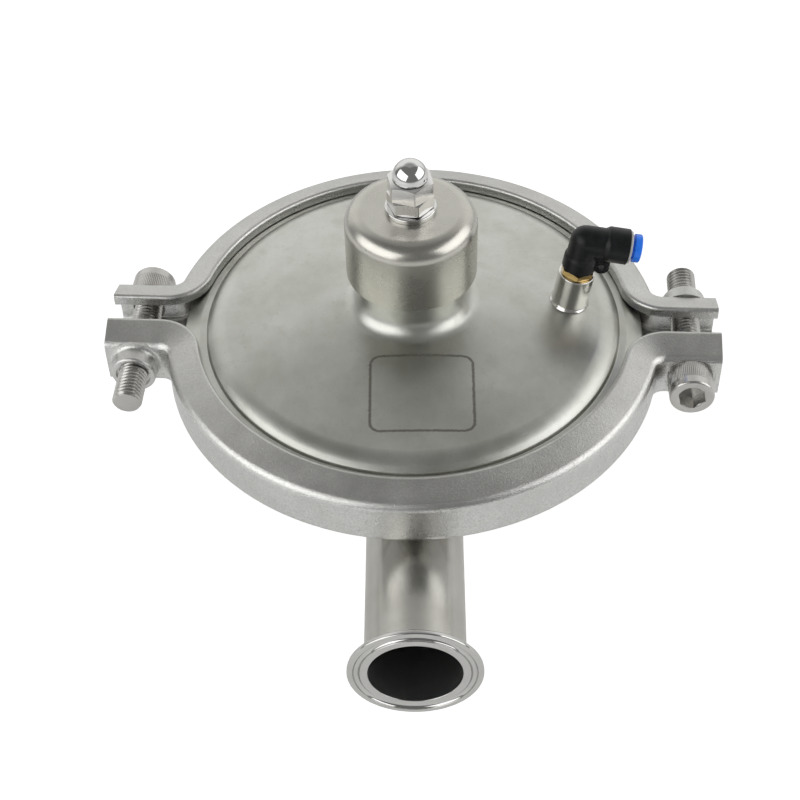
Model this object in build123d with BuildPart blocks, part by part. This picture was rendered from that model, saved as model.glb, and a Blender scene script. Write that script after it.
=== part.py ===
"""Constant pressure valve for sanitary pipework, held together by a two-piece clamp.

Millimetres. The origin is the centre of the outlet port face, +Z is the valve axis
and the inlet port looks along -Y. The valve stands on its outlet port.
"""

import os
from math import asin, cos, degrees, radians, sin, sqrt, tan

from build123d import *

# Pipe ports
tube_radius = 19.05
tube_wall = 1.5
port_flange_radius = 25.25
port_flange_edge = 2.0
port_length = 12.7
port_taper_angle = 20.0
port_groove_radius = 21.8
port_groove_half_width = 1.3
inlet_reach = 141.5

# Joint between the bowl and the cover
rim_radius = 93.0
rim_half_height = 8.8
rim_taper_width = 6.5
rim_flat_width = 3.0
rim_taper_angle = 20.0
lower_diaphragm_thickness = 1.5
sector_thickness = 2.0
upper_diaphragm_thickness = 2.0

# Bowl, barrel and seat
bowl_wall = 2.5
bowl_rise = 4.25
bowl_skirt = 1.6
barrel_radius = 35.0
barrel_wall = 2.0
barrel_bottom = 48.0
seat_thickness = 6.0
seat_bore_radius = 17.5
seat_inlet_gap = 0.95
inlet_bowl_gap = 0.8

# Cover
shoulder_height = 4.3
shoulder_round = 4.0
cover_slope = 8.4
cover_wall = 2.0
neck_radius = 21.0
neck_flare = 7.0
neck_rise = 38.4

# Turret, guide bush and stop screw
turret_radius = 25.7
turret_skirt = 13.0
turret_head = 16.5
turret_round = 7.0
bush_radius = 12.0
bush_flange_radius = 15.0
bush_flange_thickness = 4.0
bush_length = 22.0
stem_seal_section = 1.0
stem_seal_drop = 10.0
screw_fit = 0.05
stop_thread_radius = 4.9
washer_radius = 10.0
washer_thickness = 2.0
nut_width = 16.0
lock_nut_height = 6.0
lock_nut_turn = -100.0
cap_hex_height = 7.0
cap_nut_turn = -79.0
cap_dome_radius = 6.8
cap_neck_radius = 6.3
cap_neck_height = 0.6
cap_wall = 5.0
nut_chamfer_angle = 30.0

# Diaphragm unit, stem and plug
plug_lift = 8.0
lift_stop_gap = 0.4
stem_radius = 6.0
stem_fit = 0.05
stem_column_radius = 8.0
stem_top_drop = 12.0
hub_radius = 24.0
hub_thickness = 2.75
hub_spacer_radius = 13.5
hub_nut_width = 18.0
hub_nut_height = 6.0
sector_count = 12
sector_gap = 1.0
ring_gap = 0.5
plug_rim = 1.2
plug_height = 6.0
plug_cone_height = 7.0
plug_nose_radius = 15.0
plug_nose_depth = 7.0
plug_seal_radius = 20.8
plug_seal_width = 3.0
plug_seal_height = 2.2
plug_seal_gap = 0.05
seat_clearance = 0.3

# Clamp
clamp_turn = -3.0
clamp_rim_gap = 2.0
clamp_half_height = 9.5
clamp_wall = 5.0
clamp_flange_width = 13.0
clamp_flange_rise = 4.7
clamp_corner_round = 3.0
clamp_edge_chamfer = 0.9
clamp_seat_gap = 0.1
lug_offset = 19.0
lug_length = 23.5
lug_round = 5.0
screw_margin = 11.8
screw_thread_radius = 5.9
screw_length = 60.0
screw_head_radius = 9.0
screw_head_height = 12.0
screw_hex_width = 10.0
screw_hex_depth = 6.0
screw_chamfer = 1.0
threaded_hole_radius = 6.0
clearance_hole_radius = 6.6
lug_boss_radius = 9.0
lug_boss_height = 7.0
lug_boss_chamfer = 1.2
spotface_radius = 10.0
spotface_depth = 0.5

# Air connection
stub_inset = 19.9
stub_turn = 3.7
stub_radius = 7.25
stub_length = 15.2
stub_foot_radius = 8.2
stub_foot_height = 1.0
stub_thread_radius = 4.8
stub_chamfer = 0.5
air_hole_radius = 1.5
stud_thread_depth = 9.0
stud_hex_width = 12.0
stud_hex_height = 3.0
stud_spigot_radius = 4.5
stud_spigot_length = 8.0
swivel_fit = 0.05
swivel_gap = 0.1
elbow_turn = -8.0
elbow_height = 31.5
elbow_skirt_radius = 6.7
elbow_skirt_length = 5.5
elbow_neck_radius = 6.05
elbow_barrel_radius = 7.05
elbow_barrel_start = 8.8
elbow_barrel_end = 17.0
elbow_barrel_chamfer = 1.2
elbow_eye_radius = 3.1
elbow_eye_hole_radius = 1.5
elbow_eye_reach = 8.6
elbow_eye_drop = 10.8
elbow_eye_half_thickness = 2.2
swivel_seal_section = 0.7
socket_radius = 5.3
socket_bottom = 7.0
retainer_radius = 6.35
retainer_lip = 0.9
retainer_length = 4.0
collar_sleeve_radius = 4.5
collar_flange_radius = 5.6
collar_flange_length = 2.8
collar_sleeve_length = 7.4
collar_travel = 1.0
collar_gap = 0.1
collar_fit = 0.05
air_tube_radius = 3.0
air_tube_clearance = 0.1
tube_seal_length = 2.0

# Worked-out heights and radii
bore_radius = tube_radius - tube_wall
seat_top = barrel_bottom + seat_thickness
inlet_axis_height = seat_top + seat_inlet_gap + tube_radius
bowl_under_barrel = inlet_axis_height + tube_radius + inlet_bowl_gap
bowl_under_edge = bowl_under_barrel + bowl_rise
rim_bottom = bowl_under_edge + bowl_skirt
joint_height = rim_bottom + rim_half_height
rim_top = joint_height + rim_half_height
rim_flat_radius = rim_radius - rim_taper_width
shoulder_radius = rim_flat_radius - rim_flat_width
chamber_radius = shoulder_radius - cover_wall
rim_taper = tan(radians(rim_taper_angle))
rim_taper_drop = (rim_radius - rim_flat_radius) * rim_taper
stack_height = lower_diaphragm_thickness + sector_thickness + upper_diaphragm_thickness
bowl_face = joint_height - stack_height / 2
cover_face = joint_height + stack_height / 2
sector_bottom = bowl_face + lower_diaphragm_thickness
sector_top = sector_bottom + sector_thickness
barrel_bore_radius = barrel_radius - barrel_wall
bowl_fall = bowl_rise / (shoulder_radius - barrel_radius)
bowl_floor_rise = bowl_wall * sqrt(1 + bowl_fall**2)
reducer_bottom = barrel_bottom - (barrel_radius - tube_radius)
reducer_bore_bottom = barrel_bottom - (barrel_bore_radius - bore_radius)
cover_rise = tan(radians(cover_slope))
cover_edge = rim_top + shoulder_height
cover_drop = cover_wall / cos(radians(cover_slope))
neck_top = cover_edge + neck_rise
turret_bottom = neck_top - turret_skirt
turret_top = neck_top + turret_head
stem_top = neck_top - stem_top_drop
clamp_radius = rim_radius + clamp_rim_gap + clamp_wall
lug_reach = clamp_radius + lug_length
screw_reach = lug_reach - screw_margin
stub_position_radius = shoulder_radius - stub_inset
turret_bore_radius = neck_radius + screw_fit
stop_end = stem_top + plug_lift + lift_stop_gap
stop_bore_radius = stop_thread_radius + screw_fit
washer_top = turret_top + washer_thickness
lock_nut_top = washer_top + lock_nut_height
cap_hex_top = lock_nut_top + cap_hex_height
cap_bore_top = cap_hex_top + cap_dome_radius - cap_wall
hub_bottom = bowl_face - hub_thickness
hub_top = cover_face + hub_thickness
plug_bottom = seat_top + plug_seal_gap
plug_radius = plug_seal_radius + plug_rim
plug_seal_inner_radius = plug_seal_radius - plug_seal_width
plug_top = plug_bottom + plug_height + plug_cone_height


def cover_height(radius):
    """Height of the outer face of the cover's cone at a distance from the axis."""
    return cover_edge + (shoulder_radius - radius) * cover_rise


# Lower half: shallow bowl with its rim, welded on a straight barrel
inner_floor_edge = bowl_under_edge - (shoulder_radius - chamber_radius) * bowl_fall + bowl_floor_rise
inner_floor_barrel = bowl_under_edge - (shoulder_radius - barrel_bore_radius) * bowl_fall + bowl_floor_rise
with BuildPart() as bowl:
    with BuildSketch(Plane.XZ):
        with BuildLine():
            Polyline(
                (chamber_radius, bowl_face),
                (rim_radius, bowl_face),
                (rim_radius, rim_bottom + rim_taper_drop),
                (rim_flat_radius, rim_bottom),
                (shoulder_radius, rim_bottom),
                (shoulder_radius, bowl_under_edge),
                (barrel_radius, bowl_under_barrel),
                (barrel_bore_radius, bowl_under_barrel),
                (barrel_bore_radius, inner_floor_barrel),
                (chamber_radius, inner_floor_edge),
                close=True,
            )
        make_face()
    revolve(axis=Axis.Z)
bowl.part.label = "bowl"

# Barrel with the hole for the inlet, narrowing to the outlet tube
with BuildPart() as barrel:
    with BuildSketch(Plane.XZ):
        with BuildLine():
            Polyline(
                (barrel_bore_radius, bowl_under_barrel),
                (barrel_radius, bowl_under_barrel),
                (barrel_radius, barrel_bottom),
                (tube_radius, reducer_bottom),
                (bore_radius, reducer_bottom),
                (bore_radius, reducer_bore_bottom),
                (barrel_bore_radius, barrel_bottom),
                close=True,
            )
        make_face()
    revolve(axis=Axis.Z)
    with BuildSketch(Plane.XZ.offset(barrel_radius + tube_wall)):
        with Locations((0, inlet_axis_height)):
            Circle(bore_radius)
    extrude(amount=-(barrel_radius + tube_wall), mode=Mode.SUBTRACT)
barrel.part.label = "barrel"

# Valve seat, a flat-faced ring at the bottom of the barrel
with BuildPart() as seat_ring:
    with BuildSketch(Plane.XY.offset(barrel_bottom)):
        Circle(barrel_bore_radius)
        Circle(seat_bore_radius, mode=Mode.SUBTRACT)
    extrude(amount=seat_thickness)
    chamfer(seat_ring.edges().filter_by(GeomType.CIRCLE).sort_by(SortBy.RADIUS)[0], length=tube_wall)
seat_ring.part.label = "seat_ring"

# Inlet and outlet tubes, the inlet one cut to a saddle where it meets the barrel
inlet_tube_length = inlet_reach - port_length
with BuildPart() as inlet_tube:
    with BuildSketch(Plane.XZ.offset(inlet_tube_length)):
        with Locations((0, inlet_axis_height)):
            Circle(tube_radius)
            Circle(bore_radius, mode=Mode.SUBTRACT)
    extrude(amount=-(inlet_tube_length - barrel_radius / 2))
    with BuildSketch(Plane.XY):
        Circle(barrel_radius)
    extrude(amount=joint_height, mode=Mode.SUBTRACT)
inlet_tube.part.label = "inlet_tube"

with BuildPart() as outlet_tube:
    with BuildSketch(Plane.XY.offset(port_length)):
        Circle(tube_radius)
        Circle(bore_radius, mode=Mode.SUBTRACT)
    extrude(amount=reducer_bottom - port_length)
outlet_tube.part.label = "outlet_tube"


def port_ferrule(port_plane, axis):
    """Clamp ferrule: flat face with a round gasket groove, tapered back and a short neck."""
    with BuildPart() as ferrule:
        with BuildSketch(port_plane):
            with BuildLine():
                Polyline(
                    (bore_radius, 0),
                    (port_flange_radius, 0),
                    (port_flange_radius, port_flange_edge),
                    (tube_radius, port_flange_edge + (port_flange_radius - tube_radius) * port_taper),
                    (tube_radius, port_length),
                    (bore_radius, port_length),
                    close=True,
                )
            make_face()
            with Locations((port_groove_radius, 0)):
                RegularPolygon(radius=port_groove_half_width, side_count=8, mode=Mode.SUBTRACT)
        revolve(axis=axis)
        flange_edges = ferrule.edges().filter_by(GeomType.CIRCLE).group_by(SortBy.RADIUS)[-1]
        chamfer(flange_edges, length=port_flange_edge / 5)
    return ferrule.part


port_taper = tan(radians(port_taper_angle))
inlet_section = Plane(origin=(0, -inlet_reach, inlet_axis_height), x_dir=(1, 0, 0), z_dir=(0, 0, 1))
inlet_ferrule = port_ferrule(inlet_section, Axis(inlet_section.origin, inlet_section.y_dir))
inlet_ferrule.label = "inlet_ferrule"
outlet_ferrule = port_ferrule(Plane.XZ, Axis.Z)
outlet_ferrule.label = "outlet_ferrule"

# Place of the air connection: square to the cone, with the elbow's barrel along its X
stub_direction = radians(stub_turn)
stub_lean = radians(cover_slope)
stub_plane = Plane(
    origin=(
        stub_position_radius * cos(stub_direction),
        stub_position_radius * sin(stub_direction),
        cover_height(stub_position_radius),
    ),
    x_dir=(cos(stub_lean) * cos(stub_direction), cos(stub_lean) * sin(stub_direction), -sin(stub_lean)),
    z_dir=(sin(stub_lean) * cos(stub_direction), sin(stub_lean) * sin(stub_direction), cos(stub_lean)),
)
air_frame = Plane(stub_plane.location * Location((0, 0, 0), (0, 0, elbow_turn)))

# Cover: dished cone with a round shoulder, flat rim below it and a neck for the turret
cover_neck_corner = cover_height(neck_radius)
inner_shoulder = cover_edge - cover_drop + (shoulder_radius - chamber_radius) * cover_rise
inner_neck_corner = cover_height(bush_radius) - cover_drop
bush_seat = neck_top - bush_flange_thickness
with BuildPart() as cover:
    with BuildSketch(Plane.XZ) as cover_outline:
        with BuildLine():
            Polyline(
                (chamber_radius, cover_face),
                (rim_radius, cover_face),
                (rim_radius, rim_top - rim_taper_drop),
                (rim_flat_radius, rim_top),
                (shoulder_radius, rim_top),
                (shoulder_radius, cover_edge),
                (neck_radius, cover_neck_corner),
                (neck_radius, neck_top),
                (bush_flange_radius, neck_top),
                (bush_flange_radius, bush_seat),
                (bush_radius, bush_seat),
                (bush_radius, inner_neck_corner),
                (chamber_radius, inner_shoulder),
                close=True,
            )
        make_face()
        outline_corners = cover_outline.vertices()
        shoulder_corner = outline_corners.sort_by_distance((shoulder_radius, cover_edge, 0))[0]
        neck_corner = outline_corners.sort_by_distance((neck_radius, cover_neck_corner, 0))[0]
        inner_corner = outline_corners.sort_by_distance((chamber_radius, inner_shoulder, 0))[0]
        fillet(shoulder_corner, radius=shoulder_round)
        fillet(neck_corner, radius=neck_flare)
        fillet(inner_corner, radius=shoulder_round - cover_wall)
    revolve(axis=Axis.Z)
    with BuildSketch(air_frame):
        Circle(air_hole_radius)
    extrude(amount=-2 * cover_wall, mode=Mode.SUBTRACT)
cover.part.label = "cover"

# Turret: turned cap over the neck, threaded for the stop screw
with BuildPart() as turret:
    with BuildSketch(Plane.XY.offset(turret_bottom)):
        Circle(turret_radius)
    extrude(amount=turret_top - turret_bottom)
    fillet(turret.edges().group_by(Axis.Z)[-1], radius=turret_round)
    with BuildSketch(Plane.XY.offset(turret_bottom)):
        Circle(turret_bore_radius)
    extrude(amount=neck_top - turret_bottom, mode=Mode.SUBTRACT)
    with BuildSketch(Plane.XY.offset(neck_top)):
        Circle(stop_bore_radius)
    extrude(amount=turret_top - neck_top, mode=Mode.SUBTRACT)
turret.part.label = "turret"

# Guide bush with its flange on the neck's shoulder, and the stem seal in its groove
stem_bore_radius = stem_radius + stem_fit
stem_seal_radius = stem_bore_radius + stem_seal_section
stem_seal_height = neck_top - stem_seal_drop
with BuildPart() as guide_bush:
    with BuildSketch(Plane.XY.offset(neck_top - bush_length)):
        Circle(bush_radius)
    extrude(amount=bush_length)
    with BuildSketch(Plane.XY.offset(bush_seat)):
        Circle(bush_flange_radius)
    extrude(amount=bush_flange_thickness)
    with BuildSketch(Plane.XY.offset(neck_top - bush_length)):
        Circle(stem_bore_radius)
    extrude(amount=bush_length, mode=Mode.SUBTRACT)
    with BuildSketch(Plane.XY.offset(stem_seal_height - stem_seal_section)):
        Circle(stem_seal_radius + stem_seal_section)
    extrude(amount=2 * stem_seal_section, mode=Mode.SUBTRACT)
guide_bush.part.label = "guide_bush"

with BuildPart() as stem_seal:
    with BuildSketch(Plane.XZ):
        with Locations((stem_seal_radius, stem_seal_height)):
            RegularPolygon(radius=stem_seal_section, side_count=8, major_radius=False, rotation=22.5)
    revolve(axis=Axis.Z)
stem_seal.part.label = "stem_seal"

# Stop screw through the turret, with washer, lock nut and domed cap nut
with BuildPart() as stop_screw:
    with BuildSketch(Plane.XY.offset(stop_end)):
        Circle(stop_thread_radius)
    extrude(amount=cap_bore_top - stem_fit - stop_end)
    chamfer(stop_screw.edges().filter_by(GeomType.CIRCLE), length=screw_chamfer)
stop_screw.part.label = "stop_screw"

with BuildPart() as nut_washer:
    with BuildSketch(Plane.XY.offset(turret_top)):
        Circle(washer_radius)
        Circle(stop_bore_radius, mode=Mode.SUBTRACT)
    extrude(amount=washer_thickness)
    chamfer(nut_washer.edges().group_by(Axis.Z)[-1].sort_by(SortBy.RADIUS)[-1], length=washer_thickness / 6)
nut_washer.part.label = "nut_washer"


def hexagon_prism(bottom, height, width, turn, chamfered_ends):
    """Hexagon bar with its corners turned off at 30 degrees on the chosen ends."""
    corner = width / sqrt(3)
    corner_drop = (corner - width / 2) * tan(radians(nut_chamfer_angle))
    with BuildPart() as prism:
        with BuildSketch(Plane.XY.offset(bottom)):
            RegularPolygon(radius=width / 2, side_count=6, major_radius=False, rotation=turn + 30)
        extrude(amount=height)
        with BuildSketch(Plane.XZ):
            with BuildLine():
                Polyline(
                    (0, bottom),
                    (width / 2 if "bottom" in chamfered_ends else corner, bottom),
                    (corner, bottom + corner_drop),
                    (corner, bottom + height - corner_drop),
                    (width / 2 if "top" in chamfered_ends else corner, bottom + height),
                    (0, bottom + height),
                    close=True,
                )
            make_face()
        revolve(axis=Axis.Z, mode=Mode.INTERSECT)
    return prism.part


lock_nut_blank = hexagon_prism(washer_top, lock_nut_height, nut_width, lock_nut_turn, ["bottom", "top"])
with BuildPart() as lock_nut:
    add(lock_nut_blank)
    with BuildSketch(Plane.XY.offset(washer_top)):
        Circle(stop_bore_radius)
    extrude(amount=lock_nut_height, mode=Mode.SUBTRACT)
lock_nut.part.label = "lock_nut"

cap_nut_blank = hexagon_prism(lock_nut_top, cap_hex_height, nut_width, cap_nut_turn + 30, ["top"])
with BuildPart() as cap_nut:
    add(cap_nut_blank)
    with BuildSketch(Plane.XZ):
        with BuildLine():
            Polyline(
                (0, cap_hex_top),
                (cap_neck_radius, cap_hex_top),
                (cap_neck_radius, cap_hex_top + cap_neck_height),
                (cap_dome_radius, cap_hex_top + cap_neck_height),
            )
            RadiusArc(
                (cap_dome_radius, cap_hex_top + cap_neck_height),
                (0, cap_hex_top + cap_neck_height + cap_dome_radius),
                -cap_dome_radius,
            )
            Line((0, cap_hex_top + cap_neck_height + cap_dome_radius), (0, cap_hex_top))
        make_face()
    revolve(axis=Axis.Z)
    with BuildSketch(Plane.XY.offset(lock_nut_top)):
        Circle(stop_bore_radius)
    extrude(amount=cap_bore_top - lock_nut_top, mode=Mode.SUBTRACT)
cap_nut.part.label = "cap_nut"

# Diaphragm unit: two sheets with a ring of radial steel sectors between them
def flat_ring(bottom, thickness, inner_radius, outer_radius):
    """Flat ring about the valve axis."""
    with BuildPart() as ring:
        with BuildSketch(Plane.XY.offset(bottom)):
            Circle(outer_radius)
            Circle(inner_radius, mode=Mode.SUBTRACT)
        extrude(amount=thickness)
    return ring.part


lower_diaphragm = flat_ring(bowl_face, lower_diaphragm_thickness, stem_radius, rim_radius)
lower_diaphragm.label = "lower_diaphragm"
upper_diaphragm = flat_ring(sector_top, upper_diaphragm_thickness, stem_radius, rim_radius)
upper_diaphragm.label = "upper_diaphragm"
support_ring = flat_ring(sector_bottom, sector_thickness, chamber_radius, rim_radius)
support_ring.label = "support_ring"
hub_spacer = flat_ring(sector_bottom, sector_thickness, stem_radius, hub_spacer_radius)
hub_spacer.label = "hub_spacer"
lower_hub = flat_ring(hub_bottom, hub_thickness, stem_radius, hub_radius)
lower_hub.label = "lower_hub"
upper_hub = flat_ring(cover_face, hub_thickness, stem_radius, hub_radius)
upper_hub.label = "upper_hub"

with BuildPart() as support_sectors:
    with BuildSketch(Plane.XY.offset(sector_bottom)):
        Circle(chamber_radius - ring_gap)
        Circle(hub_spacer_radius + ring_gap, mode=Mode.SUBTRACT)
        with PolarLocations(0, sector_count // 2, angular_range=180):
            Rectangle(2 * rim_radius, sector_gap, mode=Mode.SUBTRACT)
    extrude(amount=sector_thickness)
support_sectors.part.label = "support_sectors"

hub_nut_blank = hexagon_prism(hub_top, hub_nut_height, hub_nut_width, 0, ["top"])
with BuildPart() as hub_nut:
    add(hub_nut_blank)
    with BuildSketch(Plane.XY.offset(hub_top)):
        Circle(stem_radius)
    extrude(amount=hub_nut_height, mode=Mode.SUBTRACT)
hub_nut.part.label = "hub_nut"

# Stem with its stouter column below the hub
with BuildPart() as stem:
    with BuildSketch(Plane.XY.offset(plug_top)):
        Circle(stem_column_radius)
    extrude(amount=hub_bottom - plug_top)
    with BuildSketch(Plane.XY.offset(hub_bottom)):
        Circle(stem_radius)
    extrude(amount=stem_top - hub_bottom)
    chamfer(stem.edges().group_by(Axis.Z)[-1], length=screw_chamfer)
stem.part.label = "stem"

# Plug: disc over the seat with a tapered nose below it and a bonded seal ring
plug_seal_top = plug_bottom + plug_seal_height
with BuildPart() as plug:
    with BuildSketch(Plane.XZ):
        with BuildLine():
            Polyline(
                (0, plug_bottom - plug_nose_depth),
                (plug_nose_radius - tube_wall, plug_bottom - plug_nose_depth),
                (plug_nose_radius, plug_bottom),
                (plug_seal_inner_radius, plug_bottom + seat_clearance),
                (plug_seal_inner_radius, plug_seal_top),
                (plug_seal_radius, plug_seal_top),
                (plug_seal_radius, plug_bottom + seat_clearance),
                (plug_radius, plug_bottom + seat_clearance),
                (plug_radius, plug_bottom + plug_height),
                (stem_column_radius, plug_top),
                (0, plug_top),
                close=True,
            )
        make_face()
    revolve(axis=Axis.Z)
plug.part.label = "plug"

plug_seal = flat_ring(plug_bottom, plug_seal_height, plug_seal_inner_radius, plug_seal_radius)
plug_seal.label = "plug_seal"

# Clamp halves: one channel section swept round the rim and out along the lugs
clamp_frame = Plane(
    origin=(0, 0, joint_height),
    x_dir=(cos(radians(clamp_turn)), sin(radians(clamp_turn)), 0),
    z_dir=(0, 0, 1),
)
clamp_top = clamp_half_height + clamp_flange_rise
clamp_inner_radius = clamp_radius - clamp_flange_width
flange_under = rim_half_height - (clamp_inner_radius - rim_flat_radius) * rim_taper + clamp_seat_gap
flange_under_wall = flange_under - (clamp_flange_width - clamp_wall) * rim_taper
bend_radius = clamp_radius + lug_round
bend_offset = lug_offset + lug_round
bend_reach = sqrt(bend_radius**2 - bend_offset**2)
bend_start = degrees(asin(bend_offset / bend_radius))
lug_end_frame = Plane(
    origin=clamp_frame.from_local_coords((-lug_reach, -lug_offset, 0)),
    x_dir=clamp_frame.y_dir,
    z_dir=clamp_frame.x_dir,
)


def screw_frame(side):
    """Plane across a screw's axis at the split of the clamp, facing the front."""
    centre = clamp_frame.from_local_coords((side * screw_reach, 0, 0))
    return Plane(origin=centre, x_dir=clamp_frame.x_dir, z_dir=-clamp_frame.y_dir)


def circles_of(part, radius):
    """Circular edges of one radius."""
    circles = part.edges().filter_by(GeomType.CIRCLE)
    return circles.filter_by(lambda edge: abs(edge.radius - radius) < screw_fit)


with BuildPart() as clamp_front:
    with BuildLine(clamp_frame) as clamp_path:
        Line((-lug_reach, -lug_offset), (-bend_reach, -lug_offset))
        CenterArc((-bend_reach, -bend_offset), lug_round, 90, bend_start - 90)
        CenterArc((0, 0), clamp_radius, 180 + bend_start, 180 - 2 * bend_start)
        CenterArc((bend_reach, -bend_offset), lug_round, 180 - bend_start, bend_start - 90)
        Line((bend_reach, -lug_offset), (lug_reach, -lug_offset))
    with BuildSketch(lug_end_frame) as channel:
        with BuildLine():
            Polyline(
                (0, -clamp_half_height),
                (clamp_flange_width, -clamp_top),
                (clamp_flange_width, -flange_under),
                (clamp_wall, -flange_under_wall),
                (clamp_wall, flange_under_wall),
                (clamp_flange_width, flange_under),
                (clamp_flange_width, clamp_top),
                (0, clamp_half_height),
                close=True,
            )
        make_face()
        wall_corners = channel.vertices().group_by(Axis.X)[0]
        lip_corners = channel.vertices().group_by(Axis.X)[-1].sort_by(Axis.Y)
        fillet(wall_corners, radius=clamp_corner_round)
        chamfer([lip_corners[0], lip_corners[-1]], length=clamp_edge_chamfer)
    sweep(path=clamp_path.wires()[0])
    with BuildSketch(screw_frame(-1).offset(lug_offset - clamp_wall)):
        Circle(lug_boss_radius)
    extrude(amount=clamp_wall + lug_boss_height)
    chamfer(circles_of(clamp_front, lug_boss_radius).sort_by(Axis.Y)[0], length=lug_boss_chamfer)
    with BuildSketch(screw_frame(-1)):
        Circle(threaded_hole_radius)
    extrude(amount=lug_offset + lug_boss_height, mode=Mode.SUBTRACT)
    with BuildSketch(screw_frame(1)):
        Circle(clearance_hole_radius)
    extrude(amount=lug_offset, mode=Mode.SUBTRACT)
    with BuildSketch(screw_frame(1).offset(lug_offset - spotface_depth)):
        Circle(spotface_radius)
    extrude(amount=spotface_depth + lug_round, mode=Mode.SUBTRACT)
clamp_front.part.label = "clamp_front"

with BuildPart() as clamp_rear:
    add(clamp_front.part.rotate(Axis.Z, 180))
clamp_rear.part.label = "clamp_rear"

# Socket head screws, one from each side
with BuildPart() as clamp_screws:
    head_face = screw_frame(1).offset(lug_offset - spotface_depth)
    with BuildSketch(head_face):
        Circle(screw_head_radius)
    extrude(amount=screw_head_height)
    chamfer(circles_of(clamp_screws, screw_head_radius).sort_by(Axis.Y)[0], length=screw_chamfer)
    with BuildSketch(head_face.offset(screw_head_height)):
        RegularPolygon(radius=screw_hex_width / 2, side_count=6, major_radius=False)
    extrude(amount=-screw_hex_depth, mode=Mode.SUBTRACT)
    with BuildSketch(head_face):
        Circle(screw_thread_radius)
    extrude(amount=-screw_length)
    chamfer(circles_of(clamp_screws, screw_thread_radius).sort_by(Axis.Y)[-1], length=screw_chamfer)
    front_screw = clamp_screws.part.rotate(Axis.Z, 180)
    add(front_screw)
clamp_screws.part.label = "clamp_screws"

# Air stub: tapped socket welded square to the cover's cone
air_section = Plane(origin=air_frame.origin, x_dir=air_frame.x_dir, z_dir=-air_frame.y_dir)
air_axis = Axis(air_frame.origin, air_frame.z_dir)
with BuildPart() as air_stub:
    with BuildSketch(air_section):
        with BuildLine():
            Polyline(
                (stub_thread_radius + screw_fit, 0),
                (stub_foot_radius, 0),
                (stub_radius, stub_foot_height),
                (stub_radius, stub_length - stub_chamfer),
                (stub_radius - stub_chamfer, stub_length),
                (stub_thread_radius + screw_fit, stub_length),
                close=True,
            )
        make_face()
    revolve(axis=air_axis)
air_stub.part.label = "air_stub"

# Brass stud of the elbow, with the swivel seal in its groove
stud_bottom = stub_length - stud_thread_depth
stud_hex_top = stub_length + stud_hex_height
stud_top = stud_hex_top + stud_spigot_length
swivel_seal_height = stud_hex_top + stud_spigot_length / 2
swivel_seal_radius = stud_spigot_radius - swivel_seal_section
with BuildPart() as elbow_stud:
    with BuildSketch(air_section):
        with BuildLine():
            Polyline(
                (air_hole_radius, stud_bottom),
                (stub_thread_radius, stud_bottom),
                (stub_thread_radius, stub_length),
                (stud_spigot_radius, stub_length),
                (stud_spigot_radius, stud_top),
                (air_hole_radius, stud_top),
                close=True,
            )
        make_face()
        with Locations((stud_spigot_radius, swivel_seal_height)):
            Rectangle(4 * swivel_seal_section, 2 * swivel_seal_section, mode=Mode.SUBTRACT)
    revolve(axis=air_axis)
    with BuildSketch(air_frame.offset(stub_length)):
        RegularPolygon(radius=stud_hex_width / 2, side_count=6, major_radius=False)
        Circle(stud_spigot_radius, mode=Mode.SUBTRACT)
    extrude(amount=stud_hex_height)
elbow_stud.part.label = "elbow_stud"

with BuildPart() as swivel_seal:
    with BuildSketch(air_section):
        with Locations((swivel_seal_radius, swivel_seal_height)):
            RegularPolygon(radius=swivel_seal_section, side_count=8, major_radius=False, rotation=22.5)
    revolve(axis=air_axis)
swivel_seal.part.label = "swivel_seal"

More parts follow.
